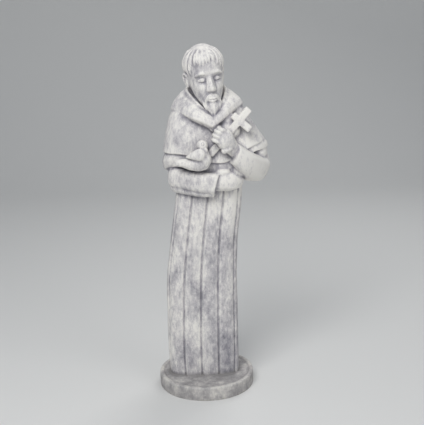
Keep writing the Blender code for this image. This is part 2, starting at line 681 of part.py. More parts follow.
def upper_figure():
    """All above the robe as one skin.

    The overlapping forms are fused, their seams softened and the faces thinned out.
    """
    forms = (add_cape, add_hood, add_head, add_face, add_hair, add_beard,
             add_right_arm, add_left_arm, add_cross, add_bird)
    figure = clay_object("upper_figure", forms)
    fuse = figure.modifiers.new("fuse", "REMESH")
    fuse.mode = "VOXEL"
    fuse.voxel_size = CLAY_GRAIN
    fuse.adaptivity = 0
    soften = figure.modifiers.new("soften", "SMOOTH")
    soften.factor = 0.5
    soften.iterations = 1
    figure.data = outer_skin(evaluated_mesh(figure))
    figure.modifiers.clear()
    thin = figure.modifiers.new("thin", "DECIMATE")
    thin.ratio = UPPER_TRIANGLES / (2 * len(figure.data.polygons))
    thin.use_collapse_triangulate = True
    return figure


def base_mesh():
    """The round base, turned: a straight wall, a rounded rim and a shallow dish inside it."""
    radius, edge = BASE_DIAMETER / 2, BASE_EDGE_RADIUS
    profile = [(0, 0), (radius - 0.5 * edge, 0), (radius, 0.5 * edge)]
    for degrees in range(0, 91, 22):
        a = math.radians(degrees)
        profile.append((radius - edge + edge * math.cos(a), BASE_THICKNESS - edge + edge * math.sin(a)))
    inner = radius - BASE_RIM_WIDTH
    profile += [(inner + 0.5 * BASE_DISH_DEPTH, BASE_THICKNESS),
        (inner - 0.5 * BASE_DISH_DEPTH, BASE_TOP), (0, BASE_TOP)]
    turned = bmesh.new()
    points = [turned.verts.new((x, 0, z)) for x, z in profile]
    edges = [turned.edges.new(pair) for pair in zip(points, points[1:])]
    bmesh.ops.spin(
        turned, geom=points + edges, axis=(0, 0, 1), cent=(0, 0, 0), angle=2 * math.pi, steps=BASE_SIDES,
             use_merge=True
    )
    bmesh.ops.remove_doubles(turned, verts=turned.verts[:], dist=1e-6)
    bmesh.ops.recalc_face_normals(turned, faces=turned.faces[:])
    mesh = bpy.data.meshes.new("round_base")
    turned.to_mesh(mesh)
    turned.free()
    return mesh


def cast_stone():
    """Cast stone with a blue-grey wash rubbed off its raised parts."""
    material = bpy.data.materials.new("cast stone, washed blue-grey")
    material.use_nodes = True
    shader = material.node_tree.nodes["Principled BSDF"]
    shader.inputs["Base Color"].default_value = (0.52, 0.51, 0.52, 1)
    shader.inputs["Roughness"].default_value = 0.85
    shader.inputs["Metallic"].default_value = 0.0
    return material


def build():
    """One casting: the base, the robe and the upper figure, united."""
    for old in list(bpy.data.objects):
        bpy.data.objects.remove(old)
    statue = bpy.data.objects.new("saint_francis_statue", base_mesh())
    bpy.context.scene.collection.objects.link(statue)
    pieces = (clay_object("robe", (add_robe,)), upper_figure())
    for piece in pieces:
        join = statue.modifiers.new("join " + piece.name, "BOOLEAN")
        join.operation = "UNION"
        join.solver = "EXACT"
        join.object = piece
    statue.data = outer_skin(evaluated_mesh(statue))
    statue.modifiers.clear()
    for piece in pieces:
        bpy.data.objects.remove(piece)
    statue.data.materials.append(cast_stone())
    statue.data.shade_smooth()
    statue.data.set_sharp_from_angle(angle=math.radians(40))


build()
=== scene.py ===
"""The looks of a cast stone garden statue: a standing friar with a bird and a cross, on a round base.

The statue leaves one mould whole, so it is one closed piece here too. Its forms are laid over each other,
fused into one skin, softened and then cut with the fine relief. Hollows and edges are measured on that skin,
so that the wash lies where a brush leaves it, and so is how sheltered each point is: there and in the broad
hollows the colour is darkened with painted shade.
"""
import math

import bmesh
import bpy
import numpy as np
from mathutils import Matrix, Vector, kdtree, noise
from mathutils.bvhtree import BVHTree


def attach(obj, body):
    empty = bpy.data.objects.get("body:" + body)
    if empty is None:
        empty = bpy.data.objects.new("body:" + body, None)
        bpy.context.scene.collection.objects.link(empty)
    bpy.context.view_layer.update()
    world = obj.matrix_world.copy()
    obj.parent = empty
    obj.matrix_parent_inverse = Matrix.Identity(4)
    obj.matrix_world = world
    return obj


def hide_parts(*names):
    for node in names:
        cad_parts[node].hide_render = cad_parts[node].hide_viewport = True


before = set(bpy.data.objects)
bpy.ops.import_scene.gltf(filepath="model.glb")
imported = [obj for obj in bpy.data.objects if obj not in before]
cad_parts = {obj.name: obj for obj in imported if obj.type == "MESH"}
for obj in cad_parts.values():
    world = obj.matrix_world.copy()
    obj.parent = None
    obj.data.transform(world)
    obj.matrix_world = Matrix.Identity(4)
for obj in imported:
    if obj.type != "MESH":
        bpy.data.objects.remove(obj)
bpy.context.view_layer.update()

# Sizes of the base, in metres
BASE_DIAMETER = 0.170
BASE_THICKNESS = 0.024
BASE_DISH_DEPTH = 0.002
BASE_RIM_WIDTH = 0.007
BASE_EDGE_RADIUS = 0.0025
BASE_SIDES = 180

# Sizes of the figure, in metres
FIGURE_HEIGHT = 0.588
FIGURE_ROOT_DEPTH = 0.006
PLEAT_DEPTH = 0.0032
PLEAT_GROOVE_TOP_WIDTH = 0.0062
PLEAT_GROOVE_FOOT_WIDTH = 0.0043
CAPE_HEM_THICKNESS = 0.0032
HOOD_ROLL_RADIUS = 0.0040
CROSS_BAR_WIDTH = 0.0120
CROSS_THICKNESS = 0.014
FINGER_RADIUS = 0.0042

# Numbers of repeated forms
PLEATS = 10
HAIR_LOCKS = 38
BEARD_LOCKS = 9

# The drawing: its height and the level of its foot, in drawing millimetres
DRAWN_HEIGHT = 588.0
DRAWN_FOOT = 22.0
MM = FIGURE_HEIGHT / DRAWN_HEIGHT
BASE_TOP = BASE_THICKNESS - BASE_DISH_DEPTH

# Directions of the drawing
ACROSS = (1, 0, 0)
UPRIGHT = (0, 0, 1)

# Robe, as level, centre X, half width, centre Y, half depth
ROBE = (
    (14, -3.2, 60.9, 0, 29),
    (60, -4.3, 62.4, 0, 29.5),
    (130, -4.6, 62.2, 0, 30.5),
    (200, -4.0, 61.3, 0, 32),
    (271, 1.5, 58.0, 0, 34),
    (340, 10.3, 56.8, 0, 36),
    (400, 15.0, 54.0, 0, 37),
    (440, 15.0, 50.0, 0, 36),
)
ROBE_SQUARENESS = 3.4
# The pleats, as level, how far the middle groove lies left of the robe's centre line, and how much narrower
# the pleats are in front than behind
PLEAT_PLACES = (
    (14, 4.5, 0.0075), (100, 3.4, 0.0075), (200, 1.6, 0.010), (340, 2.6, 0.0135), (440, 2.6, 0.0135),
)
# Rows of points round one pleat: first across its groove, as a share of the groove's width, then over its
# face, as a share of the pleat. Each has how deep it lies, as a share of the pleat's depth
GROOVE_ROWS = ((-0.5, 0), (-0.42, 0.3), (-0.27, 0.86), (0, 1), (0.27, 0.86), (0.42, 0.3), (0.5, 0))
CROWN_ROWS = ((0.2, -0.16), (0.35, -0.27), (0.5, -0.32), (0.65, -0.27), (0.8, -0.16))
ROBE_LEVELS = 60

# Cape, as share of the way down, left X, right X, front Y, back Y
CAPE = (
    (0.00, -20, 44, -28, 30),
    (0.20, -45, 70, -36, 38),
    (0.35, -53, 77, -41, 44),
    (0.50, -57, 84, -45, 48),
    (0.70, -61, 94, -49, 50),
    (1.00, -65.6, 109.3, -52, 50),
)
CAPE_TOP = 520
CAPE_SQUARENESS = 2.5
# Its hem, as degrees round from the front, then level
CAPE_HEM = (
    (-135, 415), (-90, 427), (-60, 429), (-27, 427.5), (3, 414), (15, 419), (25, 428),
    (36, 435.6), (50, 441), (70, 445.5), (90, 447), (135, 426), (180, 404),
)
# The layer under the cape, as degrees round, level of its hem, how far it stands out, and how round its
# edge is
UNDERCAPE = (
    (-135, 402, 4, 1), (-90, 397, 6, 1), (-65, 404, 4, 1), (-32, 407, 0, 0.6), (3, 399, 0, 0),
    (25, 413, 0, 0), (36, 421, 1, 0), (46.5, 429, 2, 0), (70, 433, 6, 0), (90, 434.6, 9, 0),
    (135, 414, 4, 0.5), (180, 392, 3, 1),
)
# How it curves in below the cape, as share of the way down what shows, share of the standing out, how far the
# surface lies in, and how much further in where the edge is round
UNDERCAPE_ROWS = (
    (0, 0, 7, 0), (0.1, 0.2, 2.2, 0), (0.3, 0.5, 0.6, 0), (0.55, 0.8, 0, 0), (0.8, 0.9, 0, 1.6),
    (0.96, 1, 0, 4.2), (1, 1, 0.6, 6), (1, 1, 6, 9),
)
# Points round the cape and round the hood
WRAP_SIDES = 192

# Hood, as degrees round from the point of its V, then X, Y, level
HOOD_RIM = (
    (0, 20.8, -60, 477), (22, 33, -56, 485.5), (45, 47, -47, 494.5), (90, 72.0, -3, 506),
    (135, 57, 38, 488), (180, 13, 57, 446), (225, -30, 38, 482), (270, -48.5, -2, 500.0),
    (315, -14, -50, 490), (338, 4, -58, 484.5), (360, 20.8, -60, 477),
)
HOOD_LIP = (
    (0, 21, -47, 490.5), (22, 31, -43, 500), (45, 39, -33, 512), (90, 45, 2, 530), (135, 34, 27, 536),
    (180, 10, 37, 537), (225, -13, 27, 536), (270, -23, 2, 530), (315, -6, -35, 512), (338, 8, -43, 500),
    (360, 21, -47, 490.5),
)
HOOD_MIDDLE_X = 11
# Its surface, as share of the way from the rim to the lip, step outwards and step up
HOOD_ROWS = (
    (0.0, -18, -10), (0.02, -4, -5), (0.0, -1.2, -2.0), (0.0, 0, 0), (0.06, 1.4, 3.4), (0.25, 3.0, 5.0),
    (0.5, 3.4, 4.6), (0.75, 3.0, 3.8), (0.94, 1.0, 2.0), (1.0, 0, 0.6), (1.04, -2.0, -0.5), (1.1, -4, -12),
)

# Where the head stands and how it is held
HEAD_CENTRE = (9.5, -16.0, 556.0)
HEAD_BOW = math.radians(5)
HEAD_TILT = math.radians(-7)
HEAD_TURN = math.radians(13)


def at(x, y, z):
    """A point of the drawing, in world metres."""
    return Vector((x * MM, y * MM, (z - DRAWN_FOOT) * MM + BASE_TOP))


def drawn(metres):
    """A real size as drawing millimetres."""
    return metres / MM


def curve_at(keys, u, closed=False):
    """The values at u on a smooth curve through keys, each of which is (u, value, value ...)."""
    keys = list(keys)
    if closed:
        low = keys[0][0]
        u = low + (u - low) % 360
        keys = [(k[0] - 360, *k[1:]) for k in keys[-2:]] + keys + [(k[0] + 360, *k[1:]) for k in keys[:2]]
    u = min(max(u, keys[0][0]), keys[-1][0])
    i = max(j for j in range(len(keys) - 1) if keys[j][0] <= u)
    before, a, b, after = keys[max(i - 1, 0)], keys[i], keys[i + 1], keys[min(i + 2, len(keys) - 1)]
    span = b[0] - a[0]
    t = (u - a[0]) / span
    found = []
    for n in range(1, len(a)):
        slope_a = (b[n] - before[n]) / (b[0] - before[0]) * span
        slope_b = (after[n] - a[n]) / (after[0] - a[0]) * span
        found.append(
            (2 * t**3 - 3 * t**2 + 1) * a[n]
            + (t**3 - 2 * t**2 + t) * slope_a
            + (3 * t**2 - 2 * t**3) * b[n]
            + (t**3 - t**2) * slope_b
        )
    return found


def oval(angle, half_width, half_depth, squareness):
    """A point on an oval or rounded rectangle. Angle 0 is its front middle, and +X is at a quarter turn."""
    s, c = math.sin(angle), math.cos(angle)
    power = 2 / squareness
    return (
        half_width * math.copysign(abs(s) ** power, s),
        -half_depth * math.copysign(abs(c) ** power, c),
    )


def angles_at(shares, half_width, half_depth, squareness, shift):
    """Angles of an oval for shares of the way round it.

    Shift is how far left of the front middle share 0 lies.
    """
    turns = np.linspace(0, 2 * math.pi, 3601)
    points = np.array([oval(turn, half_width, half_depth, squareness) for turn in turns])
    lengths = np.concatenate(([0], np.cumsum(np.hypot(*(points[1:] - points[:-1]).T))))
    around = lengths[-1]
    wanted = (np.array(shares) * around - shift) % around
    return np.interp(wanted, lengths, turns), around


def loft(clay, rings):
    """Adds a closed skin over rings of points, by extruding the first ring onto each of the others."""
    form = bmesh.new()
    first = bmesh.ops.create_circle(form, segments=len(rings[0]), radius=1)["verts"]
    for vertex, point in zip(first, rings[0]):
        vertex.co = point
    ring = first
    for points in rings[1:]:
        ring = extrude_ring(form, ring, points)
    for end in (first, ring):
        middle = sum((vertex.co for vertex in end), Vector()) / len(end)
        tip = extrude_ring(form, end, [middle] * len(end))
        bmesh.ops.pointmerge(form, verts=tip, merge_co=middle)
    add_form(clay, form)


def mesh_of(name, form):
    """A mesh made from a form that is finished with."""
    mesh = bpy.data.meshes.new(name)
    form.to_mesh(mesh)
    form.free()
    return mesh


def placed(name, data):
    """A new object in the scene."""
    made = bpy.data.objects.new(name, data)
    bpy.context.scene.collection.objects.link(made)
    return made


def add_form(clay, form):
    """Adds one finished form to the rest."""
    mesh = mesh_of("form", form)
    clay.from_mesh(mesh)
    bpy.data.meshes.remove(mesh)


def extrude_ring(form, ring, points):
    """Extrudes a loop of vertices, moves the new loop to the points and returns it in the same order."""
    edges = [form.edges.get((a, b)) for a, b in zip(ring, ring[1:] + ring[:1])]
    made = bmesh.ops.extrude_edge_only(form, edges=edges)["geom"]
    new = {v for v in made if isinstance(v, bmesh.types.BMVert)}
    after = [next(e.other_vert(v) for e in v.link_edges if e.other_vert(v) in new) for v in ring]
    for vertex, point in zip(after, points):
        vertex.co = point
    return after


def limb(clay, stations, side, place=at, sides=40, squareness=2.0, round_ends=(True, True), slant=0.0):
    """Adds a form that follows a path. A station is x, y, z, half width and half depth.

    The width lies along side, as square to the path as it can be. Slant leans the far end's cut.
    """
    steps = 8
    keys = [(n, *station) for n, station in enumerate(stations)]
    count = steps * (len(keys) - 1)
    line = [curve_at(keys, n / steps) for n in range(count + 1)]
    points = [Vector(values[:3]) for values in line]
    rings = []
    for n, values in enumerate(line):
        along = (points[min(n + 1, count)] - points[max(n - 1, 0)]).normalized()
        across = (Vector(side) - along * along.dot(Vector(side))).normalized()
        out = along.cross(across)
        width, depth = values[3:5]
        lean = slant * (n / count) ** 2
        for forward, size in end_rings(n, count, round_ends, min(width, depth)):
            centre = points[n] + along * forward
            ring = []
            for k in range(sides):
                x, y = oval(2 * math.pi * k / sides, width * size, depth * size, squareness)
                ring.append(place(*(centre + across * x + out * y + along * lean * x)))
            rings.append(ring)
    loft(clay, rings)


def end_rings(n, count, round_ends, radius):
    """The rings at one place on a limb, as a step forward and a share of its size.

    There is one ring, or several where an end is round.
    """
    round_over = [(radius * math.sin(a), math.cos(a)) for a in (math.radians(d) for d in (28, 54, 76))]
    if n == 0 and round_ends[0]:
        return [(-forward, size) for forward, size in reversed(round_over)] + [(0, 1)]
    if n == count and round_ends[1]:
        return [(0, 1)] + round_over
    return [(0, 1)]


def ball(clay, centre, radii, place=at, segments=48):
    """Adds an ellipsoid."""
    form = bmesh.new()
    made = bmesh.ops.create_uvsphere(form, u_segments=segments, v_segments=segments // 2, radius=1)
    for vertex in made["verts"]:
        vertex.co = place(*(c + r * v for c, r, v in zip(centre, radii, vertex.co)))
    add_form(clay, form)


def block(clay, start, end, width, thickness, face, bevel=1.6):
    """Adds a straight bar of square section from start to end. Face is the way that its broad side looks."""
    along = (Vector(end) - Vector(start)).normalized()
    out = (Vector(face) - along * along.dot(Vector(face))).normalized()
    across = out.cross(along)
    length = (Vector(end) - Vector(start)).length
    middle = (Vector(start) + Vector(end)) / 2
    form = bmesh.new()
    for vertex in bmesh.ops.create_cube(form, size=1)["verts"]:
        x, y, z = vertex.co
        vertex.co = at(*(middle + along * x * length + across * y * width + out * z * thickness))
    bmesh.ops.bevel(
        form, geom=form.edges[:], offset=bevel * MM, segments=2, affect="EDGES", profile=0.5, material=-1
    )
    add_form(clay, form)


def add_robe(clay):
    """The robe from the base to the chest: broad flat pleats, parted by grooves that narrow downwards."""
    root = DRAWN_FOOT - drawn(FIGURE_ROOT_DEPTH)
    top = ROBE[-1][0]
    around = angles_at((0,), ROBE[1][2], ROBE[1][4], ROBE_SQUARENESS, 0)[1]
    rings = []
    for n in range(ROBE_LEVELS + 1):
        level = root + (top - root) * n / ROBE_LEVELS
        centre_x, half_width, centre_y, half_depth = curve_at(ROBE, max(level, ROBE[0][0]))
        groove = drawn(PLEAT_GROOVE_FOOT_WIDTH)
        groove += (drawn(PLEAT_GROOVE_TOP_WIDTH) - groove) * n / ROBE_LEVELS
        places = [(width * groove * PLEATS / around, cut) for width, cut in GROOVE_ROWS]
        places += CROWN_ROWS
        shares = [(pleat + share) / PLEATS for pleat in range(PLEATS) for share, cut in places]
        shift, closing = curve_at(PLEAT_PLACES, level)
        shares = [share - closing * math.sin(2 * math.pi * share) for share in shares]
        cuts = [cut for pleat in range(PLEATS) for share, cut in places]
        angles = angles_at(shares, ROBE[1][2], ROBE[1][4], ROBE_SQUARENESS, shift)[0]
        ring = []
        for angle, cut in zip(angles, cuts):
            x, y = oval(angle, half_width, half_depth, ROBE_SQUARENESS)
            steep = ROBE_SQUARENESS - 1
            out = Vector((
                math.copysign(abs(x / half_width) ** steep, x) / half_width,
                math.copysign(abs(y / half_depth) ** steep, y) / half_depth,
            )).normalized()
            spot = Vector((x, y)) - out * cut * drawn(PLEAT_DEPTH)
            ring.append(at(centre_x + spot.x, centre_y + spot.y, level))
        rings.append(ring)
    loft(clay, rings)


def cape_point(degrees, down, stand_out=0.0):
    """A point of the cape's surface, a share of the way down from the neck to its hem."""
    left, right, front, back = curve_at(CAPE, min(down, 1))
    angle = math.radians(degrees)
    half_width = (right - left) / 2 + stand_out
    half_depth = (back - front) / 2 + stand_out
    x, y = oval(angle, half_width, half_depth, CAPE_SQUARENESS)
    (hem,) = curve_at(CAPE_HEM, degrees, closed=True)
    return ((left + right) / 2 + x, (front + back) / 2 + y, CAPE_TOP + (hem - CAPE_TOP) * down)


def add_cape(clay):
    """The short cape over the shoulders, and the layer that shows below its hem."""
    round_the_body = [360 * k / WRAP_SIDES - 180 for k in range(WRAP_SIDES)]
    thickness = drawn(CAPE_HEM_THICKNESS)
    # Each row is the share of the way down and how far the surface stands out
    cape_rows = [(n / 16, 0) for n in range(16)]
    cape_rows += [(0.985, 0), (1.0, -0.3 * thickness), (1.0, -2.5 * thickness)]
    loft(clay, [[at(*cape_point(d, down, out)) for d in round_the_body] for down, out in cape_rows])

    def undercape_point(degrees, share, outward, inset, rounding):
        level, stand_out, roundness = curve_at(UNDERCAPE, degrees, closed=True)
        out = stand_out * outward - inset - rounding * roundness - thickness
        x, y, hem = cape_point(degrees, 1, out)
        above = hem + 3
        return at(x, y, above + (level - above) * share)

    loft(clay, [[undercape_point(degrees, *row) for degrees in round_the_body] for row in UNDERCAPE_ROWS])


def add_hood(clay):
    """The hood laid back as a broad collar, with its point hanging behind."""
    def hood_point(degrees, share, out, up):
        rim, lip = Vector(curve_at(HOOD_RIM, degrees)), Vector(curve_at(HOOD_LIP, degrees))
        spot = rim.lerp(lip, share)
        away = Vector((rim.x - HOOD_MIDDLE_X, rim.y, 0)).normalized()
        return at(spot.x + away.x * out, spot.y + away.y * out, spot.z + up)

    loft(clay, [[hood_point(360 * k / WRAP_SIDES, *row) for k in range(WRAP_SIDES)] for row in HOOD_ROWS])
    roll = drawn(HOOD_ROLL_RADIUS)
    for keys, radius, inset in ((HOOD_RIM, roll, 3.2), (HOOD_LIP, 0.6 * roll, 1.2)):
        line = []
        for k in range(-2, 49):
            x, y, z = curve_at(keys, (360 * k / 48) % 360)
            away = Vector((x - HOOD_MIDDLE_X, y, 0)).normalized() * inset
            line.append((x - away.x, y - away.y, z + 2, radius, radius))
        limb(clay, line, side=UPRIGHT, sides=24)


# The head is drawn upright round its own middle, then bowed, tilted and turned
HEAD_FRAME = Matrix.Rotation(HEAD_TURN, 3, "Z") @ Matrix.Rotation(HEAD_TILT, 3, "Y")
HEAD_FRAME = HEAD_FRAME @ Matrix.Rotation(HEAD_BOW, 3, "X")


def on_head(x, y, z):
    """A point of the head's own drawing, in world metres. Its front is -Y and its eye line is at 0."""
    return at(*(HEAD_FRAME @ Vector((x, y, z)) + Vector(HEAD_CENTRE)))


# Head, as level, half width, front Y, back Y
HEAD = (
    (-53, 3, -27, -12), (-51.5, 7.5, -31, -8), (-47, 12, -34, -3), (-40, 17, -35.5, 3),
    (-30, 22, -36.5, 10), (-20, 25.5, -37, 19), (-10, 28, -36.5, 28), (0, 29.5, -35.5, 35),
    (10, 30.3, -36.5, 39), (20, 30.5, -36, 40.5), (30, 29, -33.5, 39), (40, 24, -27, 33),
    (47, 17, -18.5, 24.5), (51, 9, -9, 14), (52.3, 2.5, -2, 6),
)
HEAD_SQUARENESS = 2.15
HEAD_SIDES = 128
HEAD_LEVELS = 120
# Neck, as x, y, level, half width, half depth
NECK = ((10, 4, 490, 22, 22), (9, 0, 515, 20, 21), (9, -4, 540, 20, 22))
# Hollows of the face, as centre, radii and depth
HOLLOWS = (
    ((12.4, -36, -0.5), (10.0, 14, 7.0), 5.6),
    ((11.5, -36, 11.5), (13, 14, 4.6), -1.3),
    ((21, -29, -13), (8, 13, 6), -1.3),
    ((19, -30, -27), (9, 14, 11), 2.0),
    ((31, -12, 14), (8, 14, 12), 1.5),
    ((0, -37, -30), (13, 14, 10), -1.6),
)


def hollowed(x, y, z):
    """A point of the plain head, pressed back where the eyes and the cheeks are hollow."""
    for (cx, cy, cz), (rx, ry, rz), depth in HOLLOWS:
        far = ((abs(x) - cx) / rx) ** 2 + ((y - cy) / ry) ** 2 + ((z - cz) / rz) ** 2
        y += depth * math.exp(-1.6 * far)
    return x, y, z


def add_head(clay):
    """The head itself, with the hollows of its face."""
    rings = []
    for n in range(HEAD_LEVELS + 1):
        level = HEAD[0][0] + (HEAD[-1][0] - HEAD[0][0]) * n / HEAD_LEVELS
        half_width, front, back = curve_at(HEAD, level)
        ring = []
        for k in range(HEAD_SIDES):
            x, y = oval(2 * math.pi * k / HEAD_SIDES, half_width, (back - front) / 2, HEAD_SQUARENESS)
            ring.append(on_head(*hollowed(x, (front + back) / 2 + y, level)))
        rings.append(ring)
    loft(clay, rings)
    limb(clay, NECK, ACROSS, sides=64)


# Forms of the face, each as sections of x, y, z, half width and half depth in the head's own drawing
NOSE_ROOT = ((0, -31.5, 9, 5.6, 3.6), (0, -34.2, -4, 6.6, 5), (0, -36.4, -14, 8.2, 6))
NOSE_BRIDGE = (
    (0, -33.0, 9.5, 3.4, 2.6), (0, -36.0, 1, 2.9, 3.2), (0, -39.6, -8, 3.4, 3.8), (0, -42.0, -14.4, 4.4, 4.2),
)
BROW = (
    (3.4, -33.0, 8.4, 2.4, 2.6), (8.5, -34.1, 10.8, 2.7, 2.8), (15, -32.3, 11.2, 2.7, 2.8),
    (22, -27.2, 7.2, 1.8, 2.2),
)
LID = (
    (5.6, -27.5, -1.6, 1.2, 2.5), (9, -28.0, -0.4, 3.8, 4.2), (12.6, -27.8, 0.2, 4.8, 4.8),
    (16.4, -25.8, -0.6, 3.6, 4.2), (19.8, -23.6, -2, 1, 2),
)
UPPER_LIP = (
    (-8.5, -36.2, -31.4, 1.2, 1.4), (-3.4, -38.8, -30.3, 2.0, 2.2), (0, -39, -30.8, 1.7, 2.2),
    (3.4, -38.8, -30.3, 2.0, 2.2), (8.5, -36.2, -31.4, 1.2, 1.4),
)
LOWER_LIP = ((-7, -36.6, -33.6, 1.4, 1.6), (0, -39, -34.9, 2.3, 2.4), (7, -36.6, -33.6, 1.4, 1.6))
EAR_RIM = (
    (29, -1.5, 1, 1.6, 1.6), (32, 1.0, 6.5, 1.9, 1.9), (34.2, 6.5, 7.5, 2.1, 2.1),
    (34.2, 10.5, 1, 2.1, 2.1), (32.5, 8.5, -8, 2.0, 2.0), (30, 3.5, -14, 2.4, 2.2),
)
# Round forms, as centre and radii
CHIN = ((0, -36.2, -43), (7.6, 4.8, 7.4))
NOSTRIL = ((5.0, -38.2, -16.2), (3.0, 3.8, 2.9))
EAR_BOWL = ((29.5, 5, -5), (3.4, 6, 10))


def mirrored(points, s):
    """The points, with their x turned over where s is -1."""
    return [(x * s, *rest) for x, *rest in points]


def add_face(clay):
    """Nose, chin, brows, lowered lids, ears and lips, on even proportions."""
    def piece(sections, side):
        limb(clay, sections, side, place=on_head, sides=28)

    piece(NOSE_ROOT, ACROSS)
    piece(NOSE_BRIDGE, ACROSS)
    ball(clay, *CHIN, place=on_head)
    for s in (-1, 1):
        piece(mirrored(BROW, s), UPRIGHT)
        piece(mirrored(LID, s), UPRIGHT)
        ball(clay, mirrored(NOSTRIL, s)[0], NOSTRIL[1], place=on_head)
        ball(clay, mirrored(EAR_BOWL, s)[0], EAR_BOWL[1], place=on_head)
        limb(clay, mirrored(EAR_RIM, s), (s, 0, 0), place=on_head, sides=24)
    piece(UPPER_LIP, UPRIGHT)
    piece(LOWER_LIP, UPRIGHT)


# The skull under the hair, in the head's own drawing
SKULL_MIDDLE = (0, 2.5, 15.5)
SKULL_RADII = (31.0, 38.0, 37.0)
# The smooth cap that the locks lie on, as centre and radii
HAIR_CAP = ((0, 2.5, 17), (31.4, 38.2, 36.4))
# How far down the hair reaches, as degrees round from the front, then degrees down from the crown
HAIR_REACH = (
    (-135, 112), (-90, 100), (-62, 98), (-42, 84), (0, 72), (42, 84), (62, 98), (90, 100), (135, 112),
    (180, 122),
)
TONSURE = 36
# A lock of hair, as share of its length and share of its thickness
LOCK_SHAPE = ((0, 0.2), (0.25, 0.75), (0.6, 1.0), (0.86, 0.72), (1.0, 0.15))
LOCK_HALF_WIDTH = 2.75
LOCK_HALF_DEPTH = 2.9


def skull_point(azimuth, polar, lift):
    """A point over the skull, by degrees round from the front and degrees down from the crown."""
    a, p = math.radians(azimuth), math.radians(polar)
    width, depth, height = (radius + lift for radius in SKULL_RADII)
    return (
        width * math.sin(p) * math.sin(a),
        SKULL_MIDDLE[1] - depth * math.sin(p) * math.cos(a),
        SKULL_MIDDLE[2] + height * math.cos(p),
    )


def add_hair(clay):
    """A ring of locks that hang from a smooth crown, the fringe cut unevenly across the brow."""
    ball(clay, *HAIR_CAP, place=on_head, segments=64)
    for n in range(HAIR_LOCKS):
        azimuth = 360 * (n + 0.5) / HAIR_LOCKS + 1.4 * math.sin(2.7 * n)
        (reach,) = curve_at(HAIR_REACH, azimuth, closed=True)
        reach += 6.0 * math.sin(5.1 * n)
        start = TONSURE + 6 * math.sin(3.3 * n)
        sway = 2.6 * math.sin(1.9 * n)
        line = []
        for share, size in LOCK_SHAPE:
            lift = -0.6 + 2.6 * math.sin(math.pi * min(0.75 * share + 0.12, 1))
            spot = skull_point(azimuth + sway * share * share, start + (reach - start) * share, lift)
            line.append((*spot, LOCK_HALF_WIDTH * size, LOCK_HALF_DEPTH * size))
        side = (math.cos(math.radians(azimuth)), math.sin(math.radians(azimuth)), 0)
        limb(clay, line, side, place=on_head, sides=20)


# The first lock of the moustache, as x, y, z, half width and half depth, then how far x and z move with each
# lock after it
MOUSTACHE_LOCK = (
    (0.8, -38.0, -24.6, 1.0, 1.4, 0.3, -1.5), (6, -37.8, -26.2, 1.8, 1.9, 0, -1.7),
    (10.2, -35.2, -30.6, 1.8, 2.0, -0.6, -1.6), (12.0, -33.6, -37.5, 1.7, 1.9, -1.3, -1),
    (11.0, -34.2, -45, 0.7, 0.9, -1.6, -1),
)
MOUSTACHE_LOCKS = 3
# The beard's two layers, as locks, step forward, share of the thickness, and levels of the roots and the tips
BEARD_LAYERS = ((BEARD_LOCKS, 0, 1, -38, -65), (BEARD_LOCKS - 4, -2.0, 0.85, -39.5, -60))
BEARD_HALF_WIDTH = 15
# A lock of the beard, as share of its length and share of its thickness
BEARD_LOCK_SHAPE = ((0, 0.45), (0.35, 1), (0.72, 0.85), (1, 0.15))


def add_beard(clay):
    """A moustache that frames the mouth, and a short pointed beard, both in tapering locks."""
    for s in (-1, 1):
        for n in range(MOUSTACHE_LOCKS):
            lock = [
                ((x + x_step * n) * s, y, z + z_step * n, width, depth)
                for x, y, z, width, depth, x_step, z_step in MOUSTACHE_LOCK
            ]
            limb(clay, lock, UPRIGHT, place=on_head, sides=24)
    for count, forward, size, top, tip in BEARD_LAYERS:
        middle = (count - 1) / 2
        spread = BEARD_HALF_WIDTH * (count - 1) / (BEARD_LOCKS - 1)
        for n in range(count):
            out = (n - middle) / middle
            root = Vector((spread * out, -36.2 + forward + 8.5 * out * out, top + 3.5 * out * out))
            drop = tip + 9 * abs(out) + 1.4 * math.sin(4 * n + count)
            end = Vector((0.28 * spread * out, -38 + forward + 2 * out * out, drop))
            swing = 2.2 * out + 0.5 * math.sin(3 * n)
            line = []
            for share, width in BEARD_LOCK_SHAPE:
                spot = root.lerp(end, share)
                curl = math.sin(math.pi * share)
                bent = (spot.x + swing * curl, spot.y - 1.6 * curl, spot.z)
                line.append((*bent, 2.9 * width * size, 3.0 * width * size))
            limb(clay, line, ACROSS, place=on_head, sides=20)


# The arm across the waist, as x, y, level, half width and half depth
RIGHT_UPPER_ARM = ((-36, 2, 470, 17, 20), (-44, -2, 432, 18, 21), (-41, -10, 396, 16, 20))
RIGHT_SLEEVE = (
    (-41, -20, 386, 18.6, 17), (-24, -33, 384, 18.2, 16), (0, -45, 382, 18, 16),
    (25.6, -49, 379.5, 18.6, 14.5),
)
RIGHT_SLEEVE_ROLL = (
    (-42, -19, 371.5, 12, 13), (-26, -30, 369, 11, 14), (0, -41.5, 367, 11, 13.6),
    (22.4, -45, 366.5, 10.8, 13),
)
RIGHT_CUFF_SLANT = 0.17
RIGHT_HAND = (
    (10, -44, 381, 14.5, 12), (34, -45, 383, 17.5, 12.5), (50, -42, 383, 17.5, 12.5),
    (60, -36, 381.5, 13.5, 11),
)
RIGHT_THUMB = ((22, -46, 391, 7, 6.5), (33, -50, 397.8, 6.8, 6.2), (43, -49, 399.5, 4.6, 4.8))
# Its fingers: levels of their roots, then x, y, step down, share of a finger's radius and half depth
RIGHT_FINGER_LEVELS = [389 - 7.4 * n for n in range(3)]
RIGHT_FINGER = (
    (36, -49.0, 0, 0.9, 5), (49, -48.6, 0.6, 1, 5.5), (59, -41.6, 1.6, 0.95, 5), (63.6, -34, 2.2, 0.8, 4),
)
# What fills the hollows behind it, as centre and radii
RIGHT_FILLING = (((50, -30, 398), (22, 17, 17)), ((10, -8, 402), (50, 34, 30)))


